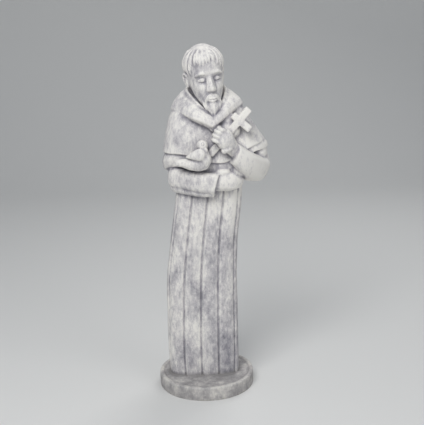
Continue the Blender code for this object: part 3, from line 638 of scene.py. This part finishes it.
def add_right_arm(clay):
    """The arm across the waist: a wide sleeve with a rolled lower edge, and the hand laid flat."""
    limb(clay, RIGHT_UPPER_ARM, ACROSS, sides=56)
    cuff = {"round_ends": (True, False), "slant": RIGHT_CUFF_SLANT}
    limb(clay, RIGHT_SLEEVE, UPRIGHT, squareness=3.0, sides=72, **cuff)
    limb(clay, RIGHT_SLEEVE_ROLL, UPRIGHT, squareness=2.4, sides=56, **cuff)
    limb(clay, RIGHT_HAND, UPRIGHT, squareness=2.1, sides=56)
    radius = drawn(FINGER_RADIUS)
    for level in RIGHT_FINGER_LEVELS:
        finger = [(x, y, level - drop, share * radius, depth) for x, y, drop, share, depth in RIGHT_FINGER]
        limb(clay, finger, UPRIGHT, sides=28)
    limb(clay, RIGHT_THUMB, UPRIGHT, sides=28)
    for filling in RIGHT_FILLING:
        ball(clay, *filling)


# The raised arm, as x, y, level, half width and half depth, and the way that each part's width lies
LEFT_UPPER_ARM = ((62, 6, 486, 10, 16), (83, 4, 448, 21, 23), (95, -4, 404, 23.5, 24))
LEFT_SLEEVE = (
    (96, -11, 398.5, 22.5, 20), (86, -26, 403, 22.5, 20), (71, -43, 416, 19, 19.5),
    (55.2, -50.5, 430.4, 16.4, 20),
)
LEFT_SLEEVE_SIDE = (0.42, 0, 0.91)
LEFT_CUFF_SLANT = 0.32
LEFT_HAND = (
    (64, -43, 424, 10, 9), (52, -55, 440, 12, 10), (41, -64, 454, 15.5, 12), (37, -65, 463, 14.5, 11),
)
LEFT_THUMB = ((51, -63, 446, 5, 5), (45, -67.5, 440.5, 5.2, 5), (38.2, -68, 438.0, 4.8, 4.8))
LEFT_HAND_SIDE = (0.66, 0, 0.75)
# Its fingers, as x, level and share of a finger's radius, then the way that each takes, as step in x, y, step
# in level, share of its thickness and half depth
LEFT_FINGERS = ((33.0, 474.2, 0.78), (28.2, 469.6, 0.82), (24.8, 463.0, 0.82), (23.2, 455.4, 0.82))
LEFT_FINGER = (
    (8, -66.5, -3.2, 0.8, 5), (4, -71.0, -1.4, 1, 5), (0, -70.5, 0, 1, 4.8), (-1.8, -64, 0.4, 1, 4.6),
    (-1, -53, 0, 1, 4.6),
)
LEFT_FINGER_SIDE = (0.5, 0, 0.87)
# Round forms, as centre and radii: the sleeve's fullness, the back of the hand and what fills the gap behind
LEFT_SLEEVE_FULLNESS = (
    ((95, -10, 425), (18, 19, 20)), ((86, -18, 390), (22, 22, 13.5)), ((64, -36, 402), (16, 16, 14)),
)
LEFT_KNUCKLES = ((41.0, -66.5, 458.5), (12.5, 10.0, 15))
LEFT_FILLING = ((46, -42, 468), (20, 14, 16))


def add_left_arm(clay):
    """The raised arm: a full sleeve from the elbow up to the hand that holds the cross."""
    limb(clay, LEFT_UPPER_ARM, ACROSS, sides=64)
    limb(clay, LEFT_SLEEVE, LEFT_SLEEVE_SIDE, squareness=3.0, sides=72, round_ends=(True, False),
         slant=LEFT_CUFF_SLANT)
    for fullness in LEFT_SLEEVE_FULLNESS:
        ball(clay, *fullness)
    limb(clay, LEFT_HAND, LEFT_HAND_SIDE, squareness=2.4, sides=56)
    limb(clay, LEFT_THUMB, LEFT_HAND_SIDE, sides=28)
    ball(clay, *LEFT_KNUCKLES)
    for x, level, thickness in LEFT_FINGERS:
        radius = drawn(FINGER_RADIUS) * thickness
        finger = [
            (x + over, y, level + up, share * radius, depth) for over, y, up, share, depth in LEFT_FINGER
        ]
        limb(clay, finger, LEFT_FINGER_SIDE, sides=28)
    ball(clay, *LEFT_FILLING)


# The cross: the ends of its upright, how far up its arm crosses, the arm's two lengths, how much thinner the
# arm is, and the way that its broad side looks
CROSS_FOOT = Vector((14.5, -49.5, 429.5))
CROSS_HEAD = Vector((81.0, -50.0, 504.0))
CROSS_MEETING = 0.745
CROSS_ARMS = (14.2, 24.0)
CROSS_ARM_STEP = 0.6
CROSS_FACE = Vector((0.06, -1, 0.1))
# What it is bedded in, as centre and radii
CROSS_BEDDING = (((44, -38, 482), (20, 12, 15)), ((24, -49, 474), (9, 8, 8)))


def add_cross(clay):
    """The cross, its upright slanting over the chest and one arm ending against the hood."""
    width, thickness = drawn(CROSS_BAR_WIDTH), drawn(CROSS_THICKNESS)
    block(clay, CROSS_FOOT, CROSS_HEAD, width, thickness, CROSS_FACE)
    meeting = CROSS_FOOT.lerp(CROSS_HEAD, CROSS_MEETING)
    arm = (CROSS_HEAD - CROSS_FOOT).normalized().cross(CROSS_FACE).normalized()
    for bedding in CROSS_BEDDING:
        ball(clay, *bedding)
    start, end = meeting - arm * CROSS_ARMS[0], meeting + arm * CROSS_ARMS[1]
    block(clay, start, end, width, thickness - CROSS_ARM_STEP, CROSS_FACE)


# The bird, as x, y, level, half width and half depth: body with tail, breast, beak and folded wing
BIRD_BODY = (
    (-42, -56, 417.5, 6.2, 6), (-29, -57, 417.0, 7.4, 7.5), (-17, -59, 415.5, 10.6, 10),
    (-4, -60, 416.5, 13.4, 12), (4.0, -60, 418.5, 11.5, 11.5),
)
BIRD_BREAST = (
    (3.0, -60, 415, 10.5, 10.5), (4.8, -60.5, 423.5, 12.6, 12.3), (4.6, -61, 433, 8.6, 10.4),
    (3.2, -61.5, 442, 7.2, 8.4), (2.6, -62, 446, 7.6, 8.4),
)
BIRD_BEAK = ((5.8, -67, 443.4, 3.0, 3), (8.8, -69, 440.4, 2.3, 2.3), (10.4, -69.2, 438.0, 1.0, 1.2))
BIRD_WING = (
    (-24.5, -65, 428.6, 1.2, 2.5), (-15, -69, 430.6, 6.0, 5), (-5.0, -71.5, 432.4, 10.0, 5.4),
    (1.2, -71.5, 432.8, 9.2, 5.2), (5.0, -70, 432.9, 5.6, 4),
)
# Its round forms, as centre and radii: head, eye, and what it is bedded in
BIRD_HEAD = ((2.3, -62.5, 447.2), (9.4, 9.2, 8.6))
BIRD_EYE = ((3.3, -69.6, 450.2), (2.6, 2.6, 2.6))
BIRD_BEDDING = (((-12, -42, 413), (24, 14, 10)), ((10, -46, 428), (8, 9, 12)))


def add_bird(clay):
    """The bird that perches on the forearm: body and tail, breast, head, beak, folded wing and eye."""
    limb(clay, BIRD_BODY, (0.1, 0, 1), squareness=2.2, sides=48, round_ends=(False, True))
    limb(clay, BIRD_BREAST, ACROSS, squareness=2.1, sides=48)
    ball(clay, *BIRD_HEAD)
    limb(clay, BIRD_BEAK, (1, 0, 0.4), sides=24)
    limb(clay, BIRD_WING, (0.05, 0, 1), squareness=2.1, sides=40)
    ball(clay, *BIRD_EYE, segments=20)
    for bedding in BIRD_BEDDING:
        ball(clay, *bedding)


# Fineness of the skin and of the finished piece
GRAIN = 0.00085
PIECE_TRIANGLES = 194000


def add_base(clay):
    """The round base, turned. It runs below the floor here, and is cut flat once the skin is fused."""
    radius, edge = BASE_DIAMETER / 2, BASE_EDGE_RADIUS
    spare = 0.006
    profile = [(0, -spare), (radius, -spare)]
    for degrees in range(0, 91, 10):
        a = math.radians(degrees)
        profile.append((radius - edge + edge * math.cos(a), BASE_THICKNESS - edge + edge * math.sin(a)))
    inner = radius - BASE_RIM_WIDTH
    slope = 0.6 * BASE_DISH_DEPTH
    profile += [(inner + slope, BASE_THICKNESS), (inner - slope, BASE_TOP), (0, BASE_TOP)]
    turned = bmesh.new()
    points = [turned.verts.new((x, 0, z)) for x, z in profile]
    edges = [turned.edges.new(pair) for pair in zip(points, points[1:])]
    bmesh.ops.spin(
        turned, geom=points + edges, axis=(0, 0, 1), cent=(0, 0, 0), angle=2 * math.pi, steps=BASE_SIDES,
        use_merge=True,
    )
    bmesh.ops.remove_doubles(turned, verts=turned.verts[:], dist=1e-6)
    bmesh.ops.recalc_face_normals(turned, faces=turned.faces[:])
    add_form(clay, turned)


def evaluated_mesh(obj):
    """The object's mesh with its modifiers applied."""
    graph = bpy.context.evaluated_depsgraph_get()
    return bpy.data.meshes.new_from_object(obj.evaluated_get(graph))


def outer_skin(mesh):
    """The mesh cut flat at the floor, without the skins of pockets that are sealed inside it."""
    solid = bmesh.new()
    solid.from_mesh(mesh)
    crown = max(solid.verts, key=lambda vertex: vertex.co.z)
    skin, reached = {crown}, [crown]
    while reached:
        vertex = reached.pop()
        for edge in vertex.link_edges:
            other = edge.other_vert(vertex)
            if other not in skin:
                skin.add(other)
                reached.append(other)
    bmesh.ops.delete(solid, geom=[v for v in solid.verts if v not in skin], context="VERTS")
    everything = solid.verts[:] + solid.edges[:] + solid.faces[:]
    cut = bmesh.ops.bisect_plane(
        solid, geom=everything, dist=1e-7, plane_co=(0, 0, 0), plane_no=(0, 0, -1), clear_outer=True
    )["geom_cut"]
    rim = [e for e in cut if isinstance(e, bmesh.types.BMEdge)]
    bmesh.ops.edgeloop_fill(solid, edges=rim)
    bmesh.ops.recalc_face_normals(solid, faces=solid.faces[:])
    return mesh_of(mesh.name, solid)


class Skin:
    """The dense skin as arrays: its points, normals and neighbours."""

    def __init__(self, mesh):
        self.mesh = mesh
        count = len(mesh.vertices)
        self.points = np.zeros(3 * count)
        mesh.vertices.foreach_get("co", self.points)
        self.points = self.points.reshape(-1, 3)
        pairs = np.zeros(2 * len(mesh.edges), dtype=np.int64)
        mesh.edges.foreach_get("vertices", pairs)
        self.a, self.b = pairs.reshape(-1, 2).T
        ends = np.bincount(self.a, minlength=count) + np.bincount(self.b, minlength=count)
        self.neighbours = np.maximum(ends, 1)

    def normals(self):
        """The vertex normals, from the mesh as it now is."""
        self.mesh.vertices.foreach_set("co", self.points.ravel())
        self.mesh.update()
        found = np.zeros(self.points.size)
        self.mesh.vertex_normals.foreach_get("vector", found)
        return found.reshape(-1, 3)

    def averaged(self, values, rounds):
        """Values, each moved half way to the mean of its neighbours, this many times."""
        count = len(self.points)
        for _ in range(rounds):
            columns = []
            for column in values.T:
                total = np.bincount(self.a, column[self.b], count)
                total += np.bincount(self.b, column[self.a], count)
                columns.append(0.5 * column + 0.5 * total / self.neighbours)
            values = np.array(columns).T
        return values


# How often the fused skin is averaged, which takes the steps of its grid away
SOFTENING_ROUNDS = 5


def rounds_for(reach):
    """How many averaging rounds spread a value over this reach, in metres."""
    return max(1, round(4 * (reach / GRAIN) ** 2))


def fused_skin():
    """All forms, laid over each other and fused into one skin."""
    forms = bmesh.new()
    for add in (
        add_base, add_robe, add_cape, add_hood, add_head, add_face, add_hair, add_beard, add_right_arm,
        add_left_arm, add_cross, add_bird,
    ):
        add(forms)
    bmesh.ops.recalc_face_normals(forms, faces=forms.faces[:])
    clay = placed("clay", mesh_of("clay", forms))
    fuse = clay.modifiers.new("fuse", "REMESH")
    fuse.mode = "VOXEL"
    fuse.voxel_size = GRAIN
    fuse.adaptivity = 0
    mesh = outer_skin(evaluated_mesh(clay))
    bpy.data.objects.remove(clay)
    return Skin(mesh)


def carved_skin():
    """The fused skin, softened and cut with the fine relief, its underside kept flat."""
    skin = fused_skin()
    on_floor = skin.points[:, 2] < 1e-6
    floor = skin.points[on_floor].copy()
    skin.points = skin.averaged(skin.points, SOFTENING_ROUNDS)
    skin.points[on_floor] = floor
    fill_creases(skin)
    cut_relief(skin)
    skin.points[on_floor] = floor
    return skin


def drawn_points(points):
    """World points, in the drawing's millimetres."""
    placed = points / MM
    placed[:, 2] = (points[:, 2] - BASE_TOP) / MM + DRAWN_FOOT
    return placed


def head_points(points):
    """World points, in the head's own drawing."""
    return (drawn_points(points) - np.array(HEAD_CENTRE)) @ np.array(HEAD_FRAME)


def groove(wave, sharpness=0.55):
    """A row of narrow cuts: 1 at the bottom of a cut and 0 between two."""
    return np.clip(1 - np.abs((wave + 0.5) % 1 - 0.5) / (0.5 * sharpness), 0, 1) ** 1.3


def ramp(value, low, high):
    """0 below low, 1 above high and smooth between them."""
    t = np.clip((value - low) / (high - low), 0, 1)
    return t * t * (3 - 2 * t)


# Fine relief, in drawing millimetres
HAIR_STRAND_DEPTH = 0.35
STRANDS_ROUND_HEAD = 104
BEARD_STRAND_DEPTH = 0.5
BEARD_STRAND_PITCH = 1.9
LINE_WIDTH = 0.9
LINE_DEPTH = 0.75
EYE_RING_RADIUS = 2.7
EYE_RING_WIDTH = 1.1
EYE_RING_DEPTH = 1.0
# Lines of the face, as distance of their middle from the face's, half length, level, rise and strength: the
# lower edge of the lids, their fold and the parting of the lips
FACE_LINES = ((12.4, 6.6, -2.0, -2.0, 1), (12.4, 7.2, 0.4, 3.6, 0.7), (0, 8.4, -32.0, -0.5, 1))
# The mouth's middle level, which the moustache goes round
MOUTH_LEVEL = -37
# In metres: how far a crease is filled from, what stays of it, and the unevenness of hand modelling
CREASE_REACH = 0.0014
CREASE_LEFT = 0.00006
UNDULATION = 0.0004
UNDULATION_PITCH = 0.022


def hair_share(skin):
    """How far each point belongs to the hair, and the two angles that place it on the skull."""
    place = head_points(skin.points)
    from_middle = place - SKULL_MIDDLE
    turn = np.arctan2(from_middle[:, 0], -from_middle[:, 1]) / (2 * math.pi)
    x, y, z = (from_middle / SKULL_RADII).T
    polar = np.degrees(np.arctan2(np.hypot(x, y), z))
    shares = np.linspace(-0.5, 0.5, 721)
    reach = np.array([curve_at(HAIR_REACH, 360 * share, closed=True)[0] for share in shares])
    reach = np.interp(turn, shares, reach)
    on_skull = (np.hypot(np.hypot(x, y), z) > 0.96) & (place[:, 2] > -40)
    return on_skull * (1 - ramp(polar, reach + 1, reach + 9)), turn, polar


def beard_share(skin):
    """How far each point belongs to the beard."""
    x, y, z = head_points(skin.points).T
    half_width = 17.5 - 0.44 * np.clip(-40 - z, 0, 30)
    inside = ramp(half_width - np.abs(x), 0, 3) * ramp(-y, 30, 34) * (y > -52)
    return inside * ramp(-z, 39, 43) * (1 - ramp(-z, 56, 60)) * (z < 0)


def moustache_rings(skin):
    """The distance of each point from the mouth's middle, and how far it belongs to the moustache."""
    x, y, z = head_points(skin.points).T
    away = np.hypot(x, (z - MOUTH_LEVEL) / 1.15)
    share = ramp(away, 6.8, 8.2) * (1 - ramp(away, 14.5, 16))
    return away, share * ramp(z, -46, -42) * (z < -22) * ramp(-y, 30, 33)


def drawn_line(x, z, middle, half_length, level, rise, strength):
    """How near each point of the face is to a fine curved line: its strength on it, and 0 away from it."""
    along = np.clip(np.abs(np.abs(x) - middle) / half_length, 0, 1)
    off = np.abs(z - (level + rise * (1 - along**2)))
    return strength * np.clip(1 - off / LINE_WIDTH, 0, 1) * (1 - along**4)


def fill_creases(skin):
    """Fills the sharp creases where forms meet, as a fingertip does. Edges that stand out stay."""
    level = drawn_points(skin.points)[:, 2]
    hair = hair_share(skin)[0]
    amount = (0.55 + 0.3 * ramp(level, 345, 365)) * (1 - 0.8 * hair) * (1 - 0.6 * beard_share(skin))
    amount *= ramp(skin.points[:, 2], BASE_THICKNESS, BASE_THICKNESS + 0.004)
    amount *= 1 - 0.5 * moustache_rings(skin)[1]
    for _ in range(4):
        normals = skin.normals()
        averaged = skin.averaged(skin.points, rounds_for(CREASE_REACH))
        gap = ((averaged - skin.points) * normals).sum(1)
        skin.points = skin.points + normals * (amount * np.maximum(gap - CREASE_LEFT, 0))[:, None]
    skin.points = skin.averaged(skin.points, 2)


def cut_relief(skin):
    """Cuts strands in hair and beard, the face's lines and the bird's eye, and makes the surface uneven."""
    hair, turn, polar = hair_share(skin)
    wander = 0.005 * np.sin(0.13 * polar + 18 * math.pi * turn)
    wander += 0.003 * np.sin(0.31 * polar + 50 * math.pi * turn)
    strands = groove((turn + wander) * STRANDS_ROUND_HEAD) * ramp(polar, 14, 30)
    x, y, z = head_points(skin.points).T
    away, moustache = moustache_rings(skin)
    moustache_strands = groove(away / BEARD_STRAND_PITCH)
    beard = beard_share(skin) * (1 - moustache)
    beard_strands = groove((x * (1 + 0.009 * (z + 40)) + 0.3 * np.sin(0.45 * z)) / BEARD_STRAND_PITCH)
    lines = np.max([drawn_line(x, z, *line) for line in FACE_LINES], axis=0) * (y < -20)
    place = drawn_points(skin.points)
    (eye_x, _, eye_level), _ = BIRD_EYE
    from_eye = np.hypot(place[:, 0] - eye_x, place[:, 2] - eye_level)
    ring = np.clip(1 - np.abs(from_eye - EYE_RING_RADIUS) / EYE_RING_WIDTH, 0, 1) * (place[:, 1] < -64)
    depth = MM * np.max([
        HAIR_STRAND_DEPTH * hair * strands, BEARD_STRAND_DEPTH * beard * beard_strands,
        BEARD_STRAND_DEPTH * moustache * moustache_strands, LINE_DEPTH * lines, EYE_RING_DEPTH * ring,
    ], axis=0)
    sway = np.array([noise.noise(Vector(p) / UNDULATION_PITCH) for p in skin.points])
    above_floor = ramp(skin.points[:, 2], 0.0, 0.006)
    skin.points = skin.points + skin.normals() * ((UNDULATION * sway * above_floor) - depth)[:, None]


# What is measured on the skin for the wash and the painted shade: each hollow's reach and the depth that
# counts as 1, in metres
HOLLOW_REACHES = {
    "hollow_fine": (0.0012, 0.0002), "hollow_middle": (0.0028, 0.0007), "hollow_broad": (0.0056, 0.0016),
}
# How far stone shelters a point, in metres, by how many rays, and how far off the skin they start
SHELTER_REACH = 0.016
SHELTER_RAYS = 20
SHELTER_START = 0.0003


def measure_hollows(skin):
    """How hollow the skin is at each point, by each reach: positive in a hollow, negative on an edge."""
    normals = skin.normals()
    found = {}
    averaged, done = skin.points, 0
    for name, (reach, full_depth) in HOLLOW_REACHES.items():
        rounds = rounds_for(reach)
        averaged = skin.averaged(averaged, rounds - done)
        done = rounds
        found[name] = ((averaged - skin.points) * normals).sum(1) / full_depth
    return found


def measure_shelter(skin):
    """How sheltered each point is, for painted shade: the share of the directions out of it that meet stone
    close by.
    """
    mesh = skin.mesh
    tree = BVHTree.FromPolygons([v.co for v in mesh.vertices], [p.vertices for p in mesh.polygons])
    golden = math.pi * (3 - math.sqrt(5))
    dome = []
    for n in range(SHELTER_RAYS):
        height = math.sqrt(1 - (n + 0.5) / SHELTER_RAYS)
        flat = math.sqrt(1 - height * height)
        dome.append(Vector((flat * math.cos(golden * n), flat * math.sin(golden * n), height)))
    sheltered = np.zeros(len(skin.points))
    for n, (point, normal) in enumerate(zip(skin.points, skin.normals())):
        normal = Vector(normal)
        turned = normal.to_track_quat("Z", "Y")
        start = Vector(point) + normal * SHELTER_START
        for way in dome:
            distance = tree.ray_cast(start, turned @ way, SHELTER_REACH)[3]
            if distance is not None:
                sheltered[n] += 1 - distance / SHELTER_REACH
    return sheltered / SHELTER_RAYS


def keep_on_points(mesh, skin, hollows):
    """Keeps on the mesh what the wash and the painted shade need: the hollows of the nearest skin point, and
    the shelter.
    """
    tree = kdtree.KDTree(len(skin.points))
    for n, point in enumerate(skin.points):
        tree.insert(point, n)
    tree.balance()
    nearest = [tree.find(vertex.co)[1] for vertex in mesh.vertices]
    kept = {name: values[nearest] for name, values in hollows.items()}
    thinned = Skin(mesh)
    kept["shelter"] = thinned.averaged(measure_shelter(thinned)[:, None], 1)[:, 0]
    for name, values in kept.items():
        layer = mesh.attributes.new(name, "FLOAT", "POINT")
        layer.data.foreach_set("value", np.clip(values, -1, 1).astype(np.float32))


def finished_statue():
    """The statue: the carved skin, thinned, with what the wash and the painted shade need kept on its points.
    """
    skin = carved_skin()
    hollows = measure_hollows(skin)
    statue = placed("cast_stone_statue", skin.mesh)
    thin = statue.modifiers.new("thin", "DECIMATE")
    thin.ratio = PIECE_TRIANGLES / sum(len(face.vertices) - 2 for face in skin.mesh.polygons)
    thin.use_collapse_triangulate = True
    mesh = evaluated_mesh(statue)
    statue.modifiers.clear()
    statue.data = mesh
    keep_on_points(mesh, skin, hollows)
    mesh.shade_smooth()
    return statue


def linear(colour):
    """An sRGB hex colour as linear values."""
    parts = [int(colour[n:n + 2], 16) / 255 for n in (1, 3, 5)]
    return (*(p / 12.92 if p <= 0.04045 else ((p + 0.055) / 1.055) ** 2.4 for p in parts), 1)


def node(tree, kind, inputs=(), **settings):
    """Adds a node with its settings, links the inputs that get a socket and sets the others."""
    made = tree.nodes.new(kind)
    for name, value in settings.items():
        setattr(made, name, value)
    for name, value in dict(inputs).items():
        if isinstance(value, bpy.types.NodeSocket):
            tree.links.new(value, made.inputs[name])
        else:
            made.inputs[name].default_value = value
    return made


def per_metre(millimetres):
    """The scale of a pattern whose features are this big."""
    return 1000 / millimetres


def ramp_node(tree, factor, stops):
    """A colour ramp through stops, each a place and a hex colour."""
    made = node(tree, "ShaderNodeValToRGB", {0: factor})
    elements = made.color_ramp.elements
    elements.remove(elements[-1])
    for n, (place, colour) in enumerate(stops):
        stop = elements[0] if n == 0 else elements.new(place)
        stop.position = place
        stop.color = linear(colour)
    return made.outputs["Color"]


# Where the wash lies in large patches, as a shift of their pattern in metres
PATCH_SHIFT = (0.91, 0.57, -1.28)


def washed_cast_stone():
    """Cast stone out of a mould, washed blue-grey and dry-brushed off-white.

    The casting is matt and slightly sandy, with a few air pores. The thin wash pools in the hollows, and the
    dry brush leaves its pigment on raised places in short upright strokes, broken up by the sandy grain.
    Shade is painted into the colour as well: darker in broad hollows, where stone shelters a point, and
    towards the bottom.
    """
    material = bpy.data.materials.new("cast stone, washed blue-grey and dry-brushed off-white")
    material.use_nodes = True
    tree = material.node_tree
    shader = tree.nodes["Principled BSDF"]
    place = node(tree, "ShaderNodeTexCoord").outputs["Object"]

    def maths(operation, *values, clamp=False):
        inputs = dict(enumerate(values))
        return node(tree, "ShaderNodeMath", inputs, operation=operation, use_clamp=clamp).outputs[0]

    def times(first, second):
        return maths("MULTIPLY", first, second)

    def less(first, second):
        return maths("SUBTRACT", first, second)

    def added(*terms):
        total = terms[0]
        for term in terms[1:]:
            total = maths("ADD", total, term)
        return total

    def weighted(*pairs):
        return added(*(times(value, weight) for value, weight in pairs))

    def falling(value, low, high):
        settings = {"Value": value, "From Min": low, "From Max": high, "To Min": 1.0, "To Max": 0.0}
        return node(tree, "ShaderNodeMapRange", settings).outputs[0]

    def upright(stretch, shift=(0, 0, 0)):
        settings = {"Vector": place, "Location": shift, "Scale": (1, 1, 1 / stretch)}
        return node(tree, "ShaderNodeMapping", settings).outputs[0]

    def cloud(vector, millimetres, detail, roughness):
        settings = {
            "Vector": vector, "Scale": per_metre(millimetres), "Detail": detail, "Roughness": roughness,
        }
        return less(node(tree, "ShaderNodeTexNoise", settings).outputs[0], 0.5)

    def kept(name):
        return node(tree, "ShaderNodeAttribute", attribute_name=name).outputs["Fac"]

    def mixed(share, first, second):
        inputs = {"Factor": share, "A": first, "B": second}
        return node(tree, "ShaderNodeMix", inputs, data_type="RGBA").outputs["Result"]

    # Patterns of the paint, with the size of their features in millimetres: broad patches of wash, strokes
    # and bristle marks of the upright brush, the sand in the stone, and smudges that only the base has
    patches = cloud(upright(1.6, PATCH_SHIFT), 42, 2, 0.55)
    strokes = cloud(upright(1.9), 8.5, 3, 0.55)
    bristles = cloud(upright(2.6), 3.0, 2, 0.6)
    grain = cloud(place, 1.5, 2, 0.6)
    smudges = cloud(place, 15, 3, 0.6)

    # Parts of the statue, by their height in metres
    axes = node(tree, "ShaderNodeSeparateXYZ", {0: place}).outputs
    side, height = axes["X"], axes["Z"]
    on_base = falling(height, 0.024, 0.030)
    on_robe = less(falling(height, 0.345, 0.360), on_base)
    # low_down makes the colour darker towards the bottom, as painted shade of the light falling off towards
    # the ground
    low_down = falling(height, 0.02, 0.36)

    # Hollows hold the wash, and broad hollows and sheltered places hold painted shade as well. On the robe
    # the middle and broad hollows and the shelter count half
    fine = kept("hollow_fine")
    half_on_robe = less(1.0, times(on_robe, 0.5))
    middle, broad = times(kept("hollow_middle"), half_on_robe), times(kept("hollow_broad"), half_on_robe)
    shelter = times(kept("shelter"), half_on_robe)

    # How much off-white the dry brush left, with painted shade taken off it in broad hollows, where stone
    # shelters a point and towards the bottom. Low down it left least on the side of the left arm, which it
    # covered best higher up
    brushed = added(0.69, weighted(
        (patches, 0.95), (strokes, less(0.92, times(on_base, 0.55))), (times(smudges, on_base), 1.6),
        (bristles, 0.55), (grain, 0.55), (fine, -0.07), (maths("MAXIMUM", middle, -0.6), -0.19),
        # Painted shade: the shelter, the broad hollows and low_down darken it
        (maths("MAXIMUM", broad, -0.3), -0.20), (shelter, -0.54), (on_base, -0.09), (low_down, -0.11),
        (times(side, less(low_down, on_base)), -2.6),
        (times(maths("MAXIMUM", side, 0.0), less(1.0, low_down)), 1.6),
    ))
    paint = ramp_node(tree, brushed, (
        (0.05, "#7b7a80"), (0.32, "#98969c"), (0.52, "#b4b1b4"), (0.72, "#cfcccb"), (0.98, "#eae7e1"),
    ))
    # Undiluted wash lies in the deepest places, mixed with painted shade in broad hollows and sheltered
    # places, and bare stone shows through on the base
    depth = added(weighted((middle, 0.24), (broad, 0.24)), shelter, -0.41)
    pooled_wash_and_shade = maths("MULTIPLY", depth, less(0.82, times(low_down, 0.40)), clamp=True)
    # The wash colour serves also as the painted shade of broad hollows and sheltered places
    washed = mixed(pooled_wash_and_shade, paint, linear("#75737a"))
    tinted = mixed(times(on_base, 0.40), washed, linear("#a8a49b"))
    tree.links.new(tinted, shader.inputs["Base Color"])

    # Matt, and a little rougher or smoother with the sand
    sand = cloud(place, 0.9, 3, 0.7)
    tree.links.new(added(0.86, times(sand, 0.15)), shader.inputs["Roughness"])
    shader.inputs["Metallic"].default_value = 0.0
    shader.inputs["IOR"].default_value = 1.5
    shader.inputs["Specular IOR Level"].default_value = 0.35

    # Sand, brush marks and air pores about 1 mm wide, no more than 0.4 mm deep
    cells = node(tree, "ShaderNodeTexVoronoi", {"Vector": place, "Scale": per_metre(5.5), "Randomness": 1.0})
    pores = falling(cells.outputs["Distance"], 0.05, 0.12)
    relief = weighted((sand, 0.6), (grain, 0.5), (bristles, 0.5), (pores, -0.4))
    bump = node(tree, "ShaderNodeBump", {"Height": relief, "Distance": 0.0004, "Strength": 0.8})
    tree.links.new(bump.outputs[0], shader.inputs["Normal"])
    return material


def plain_paint(name, colour, roughness):
    """Matt paint for the floor and the backdrop."""
    material = bpy.data.materials.new(name)
    material.use_nodes = True
    shader = material.node_tree.nodes["Principled BSDF"]
    shader.inputs["Base Color"].default_value = linear(colour)
    shader.inputs["Roughness"].default_value = roughness
    return material


# The floor and its sweep up into the backdrop, in metres
FLOOR_REACH = 4.0
SWEEP_START = 1.6
SWEEP_RADIUS = 0.8


def studio():
    """A pale floor that curves up into a backdrop."""
    profile = [(-FLOOR_REACH, 0.0), (SWEEP_START, 0.0)]
    for degrees in range(10, 91, 10):
        a = math.radians(degrees)
        profile.append((SWEEP_START + SWEEP_RADIUS * math.sin(a), SWEEP_RADIUS - SWEEP_RADIUS * math.cos(a)))
    profile.append((SWEEP_START + SWEEP_RADIUS, FLOOR_REACH))
    sweep = bmesh.new()
    points = [sweep.verts.new((-FLOOR_REACH, y, z)) for y, z in profile]
    edges = [sweep.edges.new(pair) for pair in zip(points, points[1:])]
    bmesh.ops.extrude_edge_only(sweep, edges=edges)
    sweep.verts.ensure_lookup_table()
    for vertex in sweep.verts[len(points):]:
        vertex.co.x = FLOOR_REACH
    bmesh.ops.recalc_face_normals(sweep, faces=sweep.faces[:])
    mesh = mesh_of("floor_and_backdrop", sweep)
    mesh.shade_smooth()
    mesh.materials.append(plain_paint("matt pale grey backdrop paint", "#dcdcda", 0.9))
    placed("floor_and_backdrop", mesh)


# Each lamp's name, place, what it is aimed at, width and power, in metres and watts
LAMPS = (
    ("key", (-0.5, -1.3, 1.6), (0, 0, 0.42), 1.0, 23),
    ("fill", (1.5, -1.3, 1.1), (0, 0, 0.35), 1.2, 7),
    ("rim", (0.5, 1.1, 1.7), (0, 0, 0.4), 0.9, 9),
)
# The camera's place in metres, its angles in degrees and its lens for a sensor 36 mm wide
CAMERA_PLACE = (0.0045, -1.4181, 0.671)
CAMERA_PITCH_DOWN = 13.997
CAMERA_YAW = 0.478
CAMERA_ROLL = -1.306
CAMERA_LENS = 70.63


def lamp(name, place, aim, size, power):
    """A square soft light."""
    light = bpy.data.lights.new(name, "AREA")
    light.energy = power
    light.size = size
    turned = (Vector(aim) - Vector(place)).to_track_quat("-Z", "Y").to_matrix().to_4x4()
    placed(name, light).matrix_world = Matrix.Translation(place) @ turned


def light_and_camera():
    """Soft light from above and in front, and the camera at the photograph's angle."""
    scene = bpy.context.scene
    scene.world = bpy.data.worlds.new("soft surroundings")
    scene.world.use_nodes = True
    sky = scene.world.node_tree.nodes["Background"]
    sky.inputs["Color"].default_value = linear("#c9ced6")
    sky.inputs["Strength"].default_value = 0.42
    for settings in LAMPS:
        lamp(*settings)
    # Colours show as they are, without a film curve over them
    scene.view_settings.view_transform = "Standard"
    turned = (
        Matrix.Rotation(math.radians(-CAMERA_YAW), 4, "Z")
        @ Matrix.Rotation(math.radians(90 - CAMERA_PITCH_DOWN), 4, "X")
        @ Matrix.Rotation(math.radians(CAMERA_ROLL), 4, "Z")
    )
    data = bpy.data.cameras.new("camera")
    data.sensor_width = 36
    data.lens = CAMERA_LENS
    scene.camera = placed("camera", data)
    scene.camera.matrix_world = Matrix.Translation(CAMERA_PLACE) @ turned


statue = finished_statue()
statue.data.materials.clear()
statue.data.materials.append(washed_cast_stone())
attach(statue, "root")
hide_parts("saint_francis_statue")
studio()
light_and_camera()
